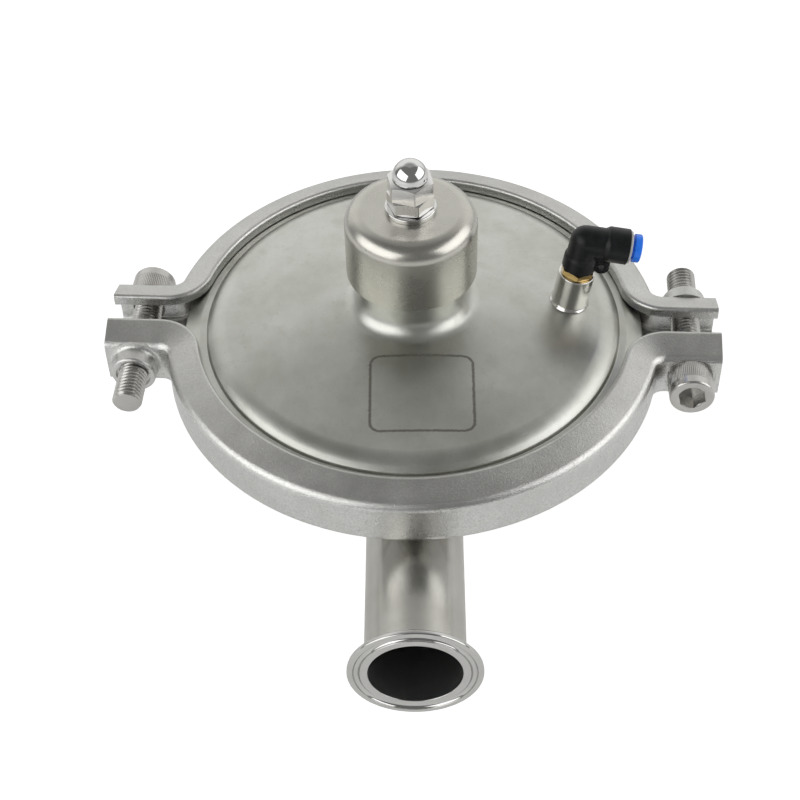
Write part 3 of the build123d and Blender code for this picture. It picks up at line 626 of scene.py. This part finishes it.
# Washer, lock nut and domed cap nut. Bright stainless fasteners on the stop screw; the nuts are
# cold formed, with turned-off corners, and the dome is buffed.
WASHER_RADIUS = 10.0
WASHER_BORE = 5.3
WASHER_TOP = TURRET_TOP + 2.0
NUT_WIDTH = 16.0
LOCK_HEIGHT = 6.0
LOCK_TOP = WASHER_TOP + LOCK_HEIGHT
LOCK_TURN = -100.0
CAP_HEIGHT = 7.0
CAP_HEX_TOP = LOCK_TOP + CAP_HEIGHT
CAP_TURN = -49.0
CAP_NECK = 6.3
CAP_DOME = 6.8
DOME_BASE = CAP_HEX_TOP + 0.6
DOME_SUNK = 3.0
DOME_STEPS = 16
CORNER_SLOPE = math.tan(math.radians(30.0))
FACE_SHARE = 0.94
OVERRUN = 1.0
bright = polished_steel("bright_steel", (0.70, 0.695, 0.685), 0.10)
washer = settle(
    lathe(
        [
            (WASHER_BORE, TURRET_TOP),
            (WASHER_RADIUS, TURRET_TOP),
            (WASHER_RADIUS, WASHER_TOP),
            (WASHER_BORE, WASHER_TOP),
        ],
        rounds=((1, 0.2, 3), (2, 0.45, 4), (3, 0.3, 3)),
        segments=96,
    ),
    "flat_washer",
)
finish_piece(washer, bright, "housing", "polished_steel", "nut_washer")


def hexagon(name, bottom, height, turn, chamfered_bottom=True, width=NUT_WIDTH, broken=0.25):
    """Hexagon bar from a bottom height up, corners turned off at 30 degrees, edges slightly broken."""
    corner = width / math.sqrt(3)
    work = prism(6, corner, height + OVERRUN, shifted(0, 0, bottom + height / 2) @ turned(turn, "Z"))
    upright = [e for e in work.edges if abs(e.verts[0].co.z - e.verts[1].co.z) > height * MM / 2]
    round_edges(work, upright, broken, 3)
    piece = settle(work, name)
    face = width / 2 * FACE_SHARE
    wide = corner + OVERRUN
    slope = (wide - width / 2) * CORNER_SLOPE
    keeper = [
        (0.0, bottom),
        (face if chamfered_bottom else wide, bottom),
        (wide, bottom + slope if chamfered_bottom else bottom),
        (wide, bottom + height - slope),
        (face, bottom + height),
        (0.0, bottom + height),
    ]
    cut(piece, lathe(keeper, segments=96, closed=False), "INTERSECT")
    return piece


lock_nut = hexagon("lower_nut", WASHER_TOP, LOCK_HEIGHT, LOCK_TURN)
cut(lock_nut, rod(STOP_BORE, (0, 0, WASHER_TOP - OVERRUN), (0, 0, LOCK_TOP + OVERRUN)))
finish_piece(lock_nut, bright, "housing", "polished_steel", "lock_nut")

cap_nut = hexagon("domed_nut", LOCK_TOP, CAP_HEIGHT, CAP_TURN, chamfered_bottom=False)
dome = lathe(
    [
        (0.0, CAP_HEX_TOP - DOME_SUNK),
        (CAP_NECK, CAP_HEX_TOP - DOME_SUNK),
        (CAP_NECK, DOME_BASE - 0.1),
        (CAP_DOME, DOME_BASE),
    ]
    + [
        (CAP_DOME * math.cos(turn), DOME_BASE + CAP_DOME * math.sin(turn))
        for turn in [math.pi / 2 * step / DOME_STEPS for step in range(1, DOME_STEPS)]
    ]
    + [(0.0, DOME_BASE + CAP_DOME)],
    segments=128,
    closed=False,
)
cut(cap_nut, dome, "UNION")
cut(cap_nut, rod(STOP_BORE, (0, 0, LOCK_TOP - OVERRUN), (0, 0, CAP_HEX_TOP + CAP_DOME - 5.0)))
finish_piece(cap_nut, bright, "housing", "polished_steel", "cap_nut")

# Clamp halves. Each is an investment-cast channel that bends round the rim and turns out into two
# lugs, one with a tapped boss and one spotfaced for a screw head; the cast skin stays, blasted.
CLAMP_TURN = -3.0
CLAMP_RADIUS = 100.0
CLAMP_HALF = 9.5
CLAMP_WALL = 5.0
CLAMP_DEPTH = 13.0
CLAMP_TOP = CLAMP_HALF + 4.7
LIP_UNDER = RIM_HALF - (CLAMP_RADIUS - CLAMP_DEPTH - RIM_FLAT_RADIUS) * CLAMP_SLOPE + 0.1
WALL_UNDER = LIP_UNDER - (CLAMP_DEPTH - CLAMP_WALL) * CLAMP_SLOPE
LUG_OFFSET = 19.0
LUG_REACH = 123.5
LUG_ROUND = 5.0
BEND_RADIUS = CLAMP_RADIUS + LUG_ROUND
BEND_OFFSET = LUG_OFFSET + LUG_ROUND
BEND_REACH = math.sqrt(BEND_RADIUS**2 - BEND_OFFSET**2)
BEND_START = math.asin(BEND_OFFSET / BEND_RADIUS)
SCREW_REACH = 111.7
BOSS_RADIUS = 9.0
BOSS_FILLET = 2.0
BOSS_SUNK = 1.0
BOSS_HEIGHT = 8.0
TAPPED_RADIUS = 6.0
MOUTH_RADIUS = 7.0
MOUTH_FLOOR = 5.7
PASSING_RADIUS = 6.6
SPOTFACE_RADIUS = 10.0
SPOTFACE_DEPTH = 0.5
clamp_place = shifted(0, 0, JOINT_HEIGHT) @ turned(CLAMP_TURN, "Z")


def cast_steel(name):
    """Investment-cast steel, blasted: pebbly grain and fine pits, walls painted paler and top painted darker
    as light and shade.
    """
    material, shader, add, join = new_finish(name)
    space = millimetre_space(add)
    clouds = speckle(add, space, 16.0, detail=5.0, rough=0.6)
    pebble = speckle(add, space, 0.8, detail=3.0, rough=0.65)
    pits = speckle(add, space, 0.9, detail=2.0, rough=0.5, edges=(0.60, 0.76))
    fine = speckle(add, space, 0.28, detail=2.0)
    facing = add("ShaderNodeSeparateXYZ", {"Vector": add("ShaderNodeTexCoord").outputs["Normal"]})
    top = graded(add, facing.outputs["Z"], 0.0, 1.0, edges=(0.35, 0.9))
    # Painted light and shade: one cast skin in two tones by the face's normal, paler on the walls and darker
    # on top.
    wall_tone_with_painted_light = blend_colour(add, clouds, (0.66, 0.66, 0.645), (0.76, 0.76, 0.745))
    top_tone_with_painted_shade = blend_colour(add, clouds, (0.53, 0.525, 0.51), (0.66, 0.655, 0.635))
    tone = blend_colour(add, top, wall_tone_with_painted_light, top_tone_with_painted_shade)
    tone = layer(add, tone, (0.40, 0.395, 0.38), pebble, 0.5)
    tone = layer(add, tone, (0.22, 0.215, 0.20), pits, 0.3)
    join(tone, "Base Color")
    shader.inputs["Metallic"].default_value = 1.0
    rough = arithmetic(add, "MULTIPLY_ADD", clouds, 0.06, graded(add, top, 0.24, 0.33))
    grain = arithmetic(add, "MULTIPLY_ADD", fine, 0.4, pebble)
    set_skin(add, join, rough, arithmetic(add, "SUBTRACT", grain, pits), 0.045)
    return material


cast = cast_steel("cast_steel")


def clamp_half(name, node, half_turn):
    """One half: its section rounded at the lug's end, then run straight, round the bends and the rim."""
    section = [
        (0.0, -CLAMP_HALF),
        (CLAMP_DEPTH, -CLAMP_TOP),
        (CLAMP_DEPTH, -LIP_UNDER),
        (CLAMP_WALL, -WALL_UNDER),
        (CLAMP_WALL, WALL_UNDER),
        (CLAMP_DEPTH, LIP_UNDER),
        (CLAMP_DEPTH, CLAMP_TOP),
        (0.0, CLAMP_HALF),
    ]
    work = bmesh.new()
    corners = [
        work.verts.new((-LUG_REACH * MM, (-LUG_OFFSET + depth) * MM, height * MM))
        for depth, height in section
    ]
    work.faces.new(corners)
    for picked, setback, steps in (((0, 7), 2.7, 9), ((1, 6), 2.3, 8), ((2, 5), 0.6, 3), ((3, 4), 1.5, 4)):
        bmesh.ops.bevel(
            work,
            geom=[corners[index] for index in picked],
            offset=setback * MM,
            offset_type="OFFSET",
            segments=steps,
            profile=0.5,
            affect="VERTICES",
            material=-1,
        )
    run = list(work.faces)
    straight = (LUG_REACH - BEND_REACH) * MM
    bend = math.pi / 2 - BEND_START
    centre_left = (-BEND_REACH * MM, -BEND_OFFSET * MM, 0)
    centre_right = (BEND_REACH * MM, -BEND_OFFSET * MM, 0)
    moves = (
        ((0, 0, 0), 0.0, straight, 1),
        (centre_left, -bend, 0.0, 24),
        ((0, 0, 0), math.pi - 2 * BEND_START, 0.0, 144),
        (centre_right, -bend, 0.0, 24),
        ((0, 0, 0), 0.0, straight, 1),
    )
    for centre, angle, forward, steps in moves:
        made = bmesh.ops.spin(
            work,
            geom=run + list({e for f in run for e in f.edges}) + list({v for f in run for v in f.verts}),
            cent=centre,
            axis=(0, 0, 1),
            dvec=(forward, 0, 0),
            angle=angle,
            steps=steps,
        )
        run = [item for item in made["geom_last"] if isinstance(item, bmesh.types.BMFace)]
    half = settle(work, name)
    foot = BOSS_RADIUS + BOSS_FILLET
    shoulder = BOSS_SUNK + BOSS_FILLET
    boss = lathe(
        [(0.0, 0.0), (foot, 0.0), (foot, BOSS_SUNK)]
        + [(foot - BOSS_FILLET * math.sin(t), shoulder - BOSS_FILLET * math.cos(t)) for t in (0.4, 0.8, 1.2)]
        + [(BOSS_RADIUS, shoulder), (BOSS_RADIUS, BOSS_HEIGHT), (0.0, BOSS_HEIGHT)],
        rounds=((7, 1.1, 4),),
        segments=96,
        place=shifted(-SCREW_REACH, -LUG_OFFSET + BOSS_SUNK, 0) @ turned(90.0, "X"),
        closed=False,
    )
    cut(half, boss, "UNION")
    for radius, reach, start, end in (
        (TAPPED_RADIUS, -SCREW_REACH, LUG_OFFSET, -12),
        (MOUTH_RADIUS, -SCREW_REACH, -MOUTH_FLOOR, -12),
        (PASSING_RADIUS, SCREW_REACH, LUG_OFFSET, -12),
        (SPOTFACE_RADIUS, SCREW_REACH, SPOTFACE_DEPTH, -8),
    ):
        cut(half, rod(radius, (reach, -LUG_OFFSET + start, 0), (reach, -LUG_OFFSET + end, 0)))
    half.data.transform(clamp_place @ turned(half_turn, "Z"))
    finish_piece(half, cast, "housing", "cast_steel", node)


clamp_half("front_half", "clamp_front", 0.0)
clamp_half("rear_half", "clamp_rear", 180.0)

# Clamp screws. M12 socket head screws, rolled thread the whole way, straight knurl on the lower
# part of the head, a turned top edge and a broached hexagon with a countersunk mouth.
THREAD_PITCH = 1.75
THREAD_CREST = 5.9
THREAD_ROOT = 4.95
THREAD_STEPS = 48
SCREW_LENGTH = 60.0
TIP_CHAMFER = 1.1
HEAD_RADIUS = 9.0
HEAD_HEIGHT = 12.0
HEAD_STEPS = 216
HEAD_STEP_IN = 0.12
KNURL_TOP = 7.8
KNURL_DEPTH = 0.3
KNURL_EVERY = 3
HEX_WIDTH = 10.0
HEX_DEPTH = 6.0
HEX_TURN = 12.0
screw_steel = blasted_steel(
    "screw_steel", (0.62, 0.61, 0.585), (0.50, 0.49, 0.47), 0.22, 0.30, grain=0.3, grain_depth=0.003
)


def threaded_rod(bottom, top):
    """Bmesh of a helical thread between two heights on Z: one turn spun, copied and then trimmed."""
    work = bmesh.new()
    flank = ((THREAD_ROOT, 0.2), (THREAD_CREST, 0.76), (THREAD_CREST, 1.0), (THREAD_ROOT, 1.56))
    profile = ((THREAD_ROOT, 0.0), *flank, (THREAD_ROOT, THREAD_PITCH))
    start = bottom - 2 * THREAD_PITCH
    turns = int((top - start) / THREAD_PITCH) + 2
    verts = [work.verts.new((radius * MM, 0, (start + height) * MM)) for radius, height in profile]
    edges = [work.edges.new(pair) for pair in zip(verts, verts[1:])]
    bmesh.ops.spin(
        work,
        geom=verts + edges,
        cent=(0, 0, 0),
        axis=(0, 0, 1),
        dvec=(0, 0, THREAD_PITCH * MM / THREAD_STEPS),
        angle=math.tau,
        steps=THREAD_STEPS,
    )
    one_turn = list(work.verts) + list(work.edges) + list(work.faces)
    for turn in range(1, turns):
        copied = bmesh.ops.duplicate(work, geom=one_turn)
        moved = [item for item in copied["geom"] if isinstance(item, bmesh.types.BMVert)]
        bmesh.ops.translate(work, vec=(0, 0, turn * THREAD_PITCH * MM), verts=moved)
    bmesh.ops.remove_doubles(work, verts=work.verts, dist=0.003 * MM)
    middle = (start + turns * THREAD_PITCH / 2) * MM
    for low_end in (True, False):
        rim = [e for e in work.edges if e.is_boundary and (e.verts[0].co.z < middle) == low_end]
        height = start + THREAD_PITCH / 2 if low_end else start + (turns + 0.5) * THREAD_PITCH
        centre = work.verts.new((0, 0, height * MM))
        for edge in rim:
            work.faces.new((edge.verts[0], edge.verts[1], centre))
    piece = settle(work, "threaded_rod")
    wide = THREAD_CREST + 0.2
    tip = THREAD_ROOT - 0.3
    keeper = [(0.0, bottom), (tip, bottom), (wide, bottom + TIP_CHAMFER), (wide, top), (0.0, top)]
    cut(piece, lathe(keeper, segments=64, closed=False), "INTERSECT")
    thread = bmesh.new()
    thread.from_mesh(piece.data)
    bpy.data.objects.remove(piece)
    return thread


def clamp_screw(name, half_turn):
    """One socket head screw with its seat at the lug's spotface."""
    turned_radius = HEAD_RADIUS - HEAD_STEP_IN
    work = lathe(
        [
            (0.0, 0.0),
            (HEAD_RADIUS, 0.0),
            (HEAD_RADIUS, KNURL_TOP),
            (turned_radius, KNURL_TOP + 0.35),
            (turned_radius, HEAD_HEIGHT),
            (0.0, HEAD_HEIGHT),
        ],
        rounds=((1, 0.4, 2), (4, 0.9, 5)),
        segments=HEAD_STEPS,
        closed=False,
    )
    for vert in work.verts:
        if math.hypot(vert.co.x, vert.co.y) > (HEAD_RADIUS - 0.05) * MM and vert.co.z > 0.2 * MM:
            step = round(math.atan2(vert.co.y, vert.co.x) / math.tau * HEAD_STEPS)
            if step % KNURL_EVERY == 0:
                vert.co.x *= 1 - KNURL_DEPTH / HEAD_RADIUS
                vert.co.y *= 1 - KNURL_DEPTH / HEAD_RADIUS
    screw = settle(work, name)
    socket_place = shifted(0, 0, HEAD_HEIGHT + (OVERRUN - HEX_DEPTH) / 2) @ turned(HEX_TURN, "Z")
    cut(screw, prism(6, HEX_WIDTH / math.sqrt(3), HEX_DEPTH + OVERRUN, socket_place))
    half_hex = HEX_WIDTH / 2
    mouth = (
        (0.0, HEAD_HEIGHT - 1.6),
        (half_hex - 0.4, HEAD_HEIGHT - 0.9),
        (half_hex + 1.0, HEAD_HEIGHT + 0.15),
        (0.0, HEAD_HEIGHT + 0.15),
    )
    drilling = (
        (0.0, HEAD_HEIGHT - HEX_DEPTH - 1.6),
        (half_hex - 0.3, HEAD_HEIGHT - HEX_DEPTH),
        (half_hex - 0.3, HEAD_HEIGHT - HEX_DEPTH + 1.0),
        (0.0, HEAD_HEIGHT - HEX_DEPTH + 1.0),
    )
    for tool_outline in (mouth, drilling):
        cut(screw, lathe(tool_outline, segments=72, closed=False))
    cut(screw, threaded_rod(-SCREW_LENGTH, 0.5), "UNION")
    seat = shifted(SCREW_REACH, -LUG_OFFSET + SPOTFACE_DEPTH, 0) @ turned(90.0, "X")
    screw.data.transform(clamp_place @ turned(half_turn, "Z") @ seat)
    finish_piece(screw, screw_steel, "housing", "screw_steel", "clamp_screws")


clamp_screw("front_screw", 0.0)
clamp_screw("rear_screw", 180.0)

# Air stub and elbow stud. A turned stainless socket welded to the cover, its weld foot polished,
# and the brass hexagon stud of the push-in elbow screwed into it.
STUB_RADIUS = 7.25
STUB_BORE = 4.85
STUB_LENGTH = 15.2
STUB_FOOT = 8.2
STUD_THREAD_RADIUS = 4.8
STUD_THREAD_LENGTH = 9.0
STUD_HEX_WIDTH = 12.0
STUD_HEX_TOP = STUB_LENGTH + 3.0
SPIGOT_RADIUS = 4.5
SPIGOT_TOP = STUD_HEX_TOP + 8.0
AIR_HOLE = 1.5
air_origin = Vector((63.4674, 4.1043, 124.5386)) * MM
air_up = Vector((0.145779, 0.009427, 0.989272))
air_along = Vector((0.986584, -0.075664, -0.144661))
air_across = air_up.cross(air_along)
air_place = Matrix.Translation(air_origin) @ Matrix((air_along, air_across, air_up)).transposed().to_4x4()
stub_steel = polished_steel("stub_steel", (0.72, 0.71, 0.68), 0.16)
stub = settle(
    lathe(
        [
            (STUB_BORE, 0.0),
            (STUB_FOOT, 0.0),
            (STUB_RADIUS, 1.0),
            (STUB_RADIUS, STUB_LENGTH),
            (STUB_BORE, STUB_LENGTH),
        ],
        rounds=((1, 0.25, 2), (2, 0.5, 4), (3, 0.5, 4)),
        segments=128,
        place=air_place,
    ),
    "air_socket",
)
finish_piece(stub, stub_steel, "housing", "satin_steel", "air_stub")

brass = polished_steel("machined_brass", (0.62, 0.44, 0.18), 0.22)
stud = settle(
    lathe(
        [
            (AIR_HOLE, STUB_LENGTH - STUD_THREAD_LENGTH),
            (STUD_THREAD_RADIUS, STUB_LENGTH - STUD_THREAD_LENGTH),
            (STUD_THREAD_RADIUS, STUB_LENGTH + 0.5),
            (SPIGOT_RADIUS, STUB_LENGTH + 0.5),
            (SPIGOT_RADIUS, SPIGOT_TOP),
            (AIR_HOLE, SPIGOT_TOP),
        ],
        segments=96,
        place=air_place,
    ),
    "brass_stud",
)
finish_piece(stud, brass, "housing", "brass", "elbow_stud")
stud_hex_height = STUD_HEX_TOP - STUB_LENGTH
stud_hex = hexagon("brass_hexagon", STUB_LENGTH, stud_hex_height, 0.0, width=STUD_HEX_WIDTH, broken=0.15)
cut(stud_hex, rod(SPIGOT_RADIUS - 0.1, (0, 0, STUB_LENGTH - OVERRUN), (0, 0, STUD_HEX_TOP + OVERRUN)))
stud_hex.data.transform(air_place)
finish_piece(stud_hex, brass, "housing", "brass", "elbow_stud")

# Push-in elbow. A moulded black body with its skirt over the brass stud, a rounded corner, a
# barrel for the tube and a small fixing eye in the crook; it swivels on the stud.
ELBOW_HEIGHT = 31.5
SKIRT_BOTTOM = STUD_HEX_TOP + 0.1
SKIRT_RADIUS = 6.7
SKIRT_TOP = SKIRT_BOTTOM + 5.5
SKIRT_BORE = 4.55
STEP_LENGTH = 1.2
ARM_RADIUS = 6.05
ARM_OUTER = ARM_RADIUS + 0.05
ARM_STEPS = 12
MOUTH_BARREL_RADIUS = 7.05
BARREL_START = 8.8
BARREL_END = 17.0
SOCKET_RADIUS = 5.3
SOCKET_BOTTOM = 7.0
EYE_REACH = 8.6
EYE_DROP = 10.8
EYE_RADIUS = 3.1
EYE_HOLE = 1.5
EYE_HALF = 2.2
EYE_HOLE_LENGTH = 12.0
WEB_SIZE = (1.9 * EYE_RADIUS, 2 * (EYE_HALF - 0.3), EYE_DROP / 2)
black_plastic = moulded("black_plastic", (0.008, 0.009, 0.010), 0.30, 0.42, 0.5, 0.02, shade=0.6)
black_plastic.node_tree.nodes["Principled BSDF"].inputs["Specular IOR Level"].default_value = 0.3
barrel_place = air_place @ shifted(0, 0, ELBOW_HEIGHT) @ turned(90.0, "Y")
elbow = settle(
    lathe(
        [
            (0.0, SKIRT_BOTTOM),
            (SKIRT_RADIUS, SKIRT_BOTTOM),
            (SKIRT_RADIUS, SKIRT_TOP),
            (ARM_RADIUS, SKIRT_TOP + STEP_LENGTH),
        ]
        + [
            (ARM_RADIUS * math.cos(turn), ELBOW_HEIGHT + ARM_RADIUS * math.sin(turn))
            for turn in [math.pi / 2 * step / ARM_STEPS for step in range(ARM_STEPS)]
        ]
        + [(0.0, ELBOW_HEIGHT + ARM_RADIUS)],
        rounds=((1, 0.4, 3), (2, 0.6, 4), (3, 0.6, 4)),
        segments=96,
        place=air_place,
        closed=False,
    ),
    "elbow_moulding",
)
barrel_work = lathe(
    [
        (0.0, 0.0),
        (ARM_OUTER, 0.0),
        (ARM_OUTER, BARREL_START - STEP_LENGTH),
        (MOUTH_BARREL_RADIUS, BARREL_START),
        (MOUTH_BARREL_RADIUS, BARREL_END),
        (0.0, BARREL_END),
    ],
    rounds=((2, 0.6, 4), (3, 0.6, 4), (4, 0.35, 3)),
    segments=96,
    place=barrel_place,
    closed=False,
)
cut(elbow, barrel_work, "UNION")
eye_place = air_place @ shifted(EYE_REACH, 0, ELBOW_HEIGHT - EYE_DROP) @ turned(90.0, "X")
eye = prism(64, EYE_RADIUS, 2 * EYE_HALF, eye_place)
rims = [e for e in eye.edges if abs(e.calc_length() - 2 * EYE_HALF * MM) > 0.1 * MM]
round_edges(eye, rims, 0.4, 3)
cut(elbow, eye, "UNION")
web = bmesh.new()
bmesh.ops.create_cube(web, size=1.0)
bmesh.ops.scale(web, vec=tuple(side * MM for side in WEB_SIZE), verts=web.verts)
web_place = air_place @ shifted(EYE_REACH, 0, ELBOW_HEIGHT - EYE_DROP * 0.75)
bmesh.ops.transform(web, matrix=web_place, verts=web.verts)
cut(elbow, web, "UNION")
cut(elbow, prism(48, EYE_HOLE, EYE_HOLE_LENGTH, eye_place))
for radius, start, end, place in (
    (SOCKET_RADIUS, SOCKET_BOTTOM, BARREL_END + OVERRUN, barrel_place),
    (SKIRT_BORE, SKIRT_BOTTOM - OVERRUN, SPIGOT_TOP + 0.1, air_place),
):
    bore = lathe(
        [(0.0, start), (radius, start), (radius, end), (0.0, end)], segments=96, place=place, closed=False
    )
    cut(elbow, bore)
finish_piece(elbow, black_plastic, "elbow", "black_plastic", "elbow_body")

# Retaining ring and release collar. A pale grey ring pressed into the barrel's mouth, and the blue
# collar that slides in it and is pushed in to let the tube go. Both are moulded plastic.
RETAINER_RADIUS = 6.35
RETAINER_BOTTOM = BARREL_END - 4.0
RETAINER_FACE = BARREL_END + 0.9
COLLAR_START = RETAINER_FACE + 1.1
COLLAR_FACE = COLLAR_START + 2.8
COLLAR_RADIUS = 5.6
SLEEVE_RADIUS = 4.5
SLEEVE_BORE = SLEEVE_RADIUS + 0.05
SLEEVE_END = COLLAR_START - 7.4
TUBE_HOLE = 3.1
grey_plastic = moulded("grey_plastic", (0.60, 0.60, 0.60), 0.18, 0.28, 0.8, 0.004, shade=0.85)
blue_plastic = moulded("blue_plastic", (0.022, 0.22, 1.0), 0.24, 0.34, 0.6, 0.006, shade=0.85)
retainer = settle(
    lathe(
        [
            (SLEEVE_BORE, RETAINER_BOTTOM),
            (SOCKET_RADIUS, RETAINER_BOTTOM),
            (SOCKET_RADIUS, BARREL_END),
            (RETAINER_RADIUS, BARREL_END),
            (RETAINER_RADIUS, RETAINER_FACE),
            (SLEEVE_BORE, RETAINER_FACE),
        ],
        rounds=((4, 0.25, 3), (5, 0.2, 3)),
        segments=96,
        place=barrel_place,
    ),
    "retainer",
)
finish_piece(retainer, grey_plastic, "elbow", "grey_plastic", "tube_retainer")
collar = settle(
    lathe(
        [
            (TUBE_HOLE, SLEEVE_END),
            (SLEEVE_RADIUS, SLEEVE_END),
            (SLEEVE_RADIUS, COLLAR_START),
            (COLLAR_RADIUS, COLLAR_START),
            (COLLAR_RADIUS, COLLAR_FACE),
            (TUBE_HOLE, COLLAR_FACE),
        ],
        rounds=((3, 0.2, 3), (4, 0.6, 5), (5, 0.5, 4)),
        segments=96,
        place=barrel_place,
    ),
    "collar_ring",
)
finish_piece(collar, blue_plastic, "collar", "blue_plastic", "release_collar")

# Floor, lights and camera. A plain white floor in a grey room with a back wall that is bright low
# down and dim overhead, and a large soft box on each side in front, with a dark gap between them.
ROOM_LEVEL = 0.20
WALL_BRIGHT = 0.82
WALL_DIM = 0.17
WALL_HEIGHTS = (0.58, 0.90)
WALL_BEARINGS = (0.35, 0.72)
FLOOR_HALF = 3.0
GLOW_REACH = (0.3, 0.9)
NEAR_GLOW = 0.5
FAR_GLOW = 1.1
MIRRORED_GLOW = 0.05
LAMP_AIM = (0, 0, 100)
LAMP_RADIANCE = 1.8
SENSOR_WIDTH = 36.0
PHOTO_WIDTH_PIXELS = 800.0
FOCAL_LENGTH_PIXELS = 1605.65
CAMERA_PLACE = (4.735, -475.585, 566.349)
world = bpy.data.worlds.new("studio")
bpy.context.scene.world = world
world.use_nodes = True
world.node_tree.nodes.clear()
sky = node_adder(world.node_tree)
heading = sky("ShaderNodeTexCoord").outputs["Generated"]
level_heading = sky("ShaderNodeVectorMath", {0: heading, 1: (1.0, 1.0, 0.0)}, operation="MULTIPLY")
bearing = sky("ShaderNodeVectorMath", {0: level_heading.outputs[0]}, operation="NORMALIZE")
rise = sky("ShaderNodeSeparateXYZ", {"Vector": heading}).outputs["Z"]
backwards = sky("ShaderNodeSeparateXYZ", {"Vector": bearing.outputs[0]}).outputs["Y"]
wall_light = graded(sky, rise, WALL_BRIGHT, WALL_DIM, WALL_HEIGHTS, interpolation_type="SMOOTHSTEP")
wall_share = graded(sky, backwards, 0.0, 1.0, WALL_BEARINGS, interpolation_type="SMOOTHSTEP")
room_light = arithmetic(sky, "MULTIPLY_ADD", wall_light, wall_share, ROOM_LEVEL)
room = sky("ShaderNodeBackground", {"Color": (1.0, 1.0, 0.985, 1.0), "Strength": room_light})
seen_white = sky("ShaderNodeBackground", {"Color": (1.0, 1.0, 1.0, 1.0), "Strength": 1.0})
to_camera = sky("ShaderNodeLightPath").outputs["Is Camera Ray"]
pick = sky("ShaderNodeMixShader", {"Fac": to_camera, 1: room.outputs[0], 2: seen_white.outputs[0]})
sky("ShaderNodeOutputWorld", {"Surface": pick.outputs[0]})

floor_work = bmesh.new()
bmesh.ops.create_grid(floor_work, x_segments=1, y_segments=1, size=FLOOR_HALF)
floor = settle(floor_work, "floor")
floor_paint, floor_shader, add, join = new_finish("floor_white")
floor_shader.inputs["Base Color"].default_value = (0.92, 0.92, 0.92, 1.0)
floor_shader.inputs["Roughness"].default_value = 0.9
floor_shader.inputs["Emission Color"].default_value = (1.0, 1.0, 1.0, 1.0)
rays = add("ShaderNodeLightPath").outputs
mirrored = arithmetic(add, "MAXIMUM", rays["Is Glossy Ray"], rays["Is Transmission Ray"])
away = add("ShaderNodeVectorMath", {0: add("ShaderNodeTexCoord").outputs["Object"]}, operation="LENGTH")
whiter = graded(add, away.outputs["Value"], NEAR_GLOW, FAR_GLOW, GLOW_REACH)
seen = arithmetic(add, "MULTIPLY", rays["Is Camera Ray"], whiter)
join(arithmetic(add, "MULTIPLY_ADD", mirrored, MIRRORED_GLOW, seen), "Emission Strength")
floor.data.materials.append(floor_paint)


def soft_box(name, centre, width, height):
    """Rectangular lamp outside the picture; its power follows from its size and how bright it looks."""
    lamp = bpy.data.lights.new(name, "AREA")
    lamp.shape = "RECTANGLE"
    lamp.size = width * MM
    lamp.size_y = height * MM
    lamp.energy = LAMP_RADIANCE * math.pi * width * height * MM**2
    holder = bpy.data.objects.new(name, lamp)
    turn = (Vector(LAMP_AIM) - Vector(centre)).to_track_quat("-Z", "Y").to_matrix().to_4x4()
    holder.matrix_world = Matrix.Translation(Vector(centre) * MM) @ turn
    holder.visible_camera = False
    bpy.context.scene.collection.objects.link(holder)


soft_box("left_box", (-916, -551, 645), 1700, 950)
soft_box("right_box", (1059, -149, 645), 1450, 950)

camera_data = bpy.data.cameras.new("camera")
camera_data.sensor_width = SENSOR_WIDTH
camera_data.lens = FOCAL_LENGTH_PIXELS * SENSOR_WIDTH / PHOTO_WIDTH_PIXELS
camera_data.clip_start = 0.01
camera_data.clip_end = 20.0
camera = bpy.data.objects.new("camera", camera_data)
camera_right = Vector((0.999812, 0.002690, -0.019220))
camera_up = Vector((0.011378, 0.721041, 0.692799))
camera_back = camera_right.cross(camera_up)
camera_turn = Matrix((camera_right, camera_up, camera_back)).transposed().to_4x4()
camera.matrix_world = Matrix.Translation(Vector(CAMERA_PLACE) * MM) @ camera_turn
bpy.context.scene.collection.objects.link(camera)
bpy.context.scene.camera = camera
bpy.context.scene.view_settings.view_transform = "Standard"
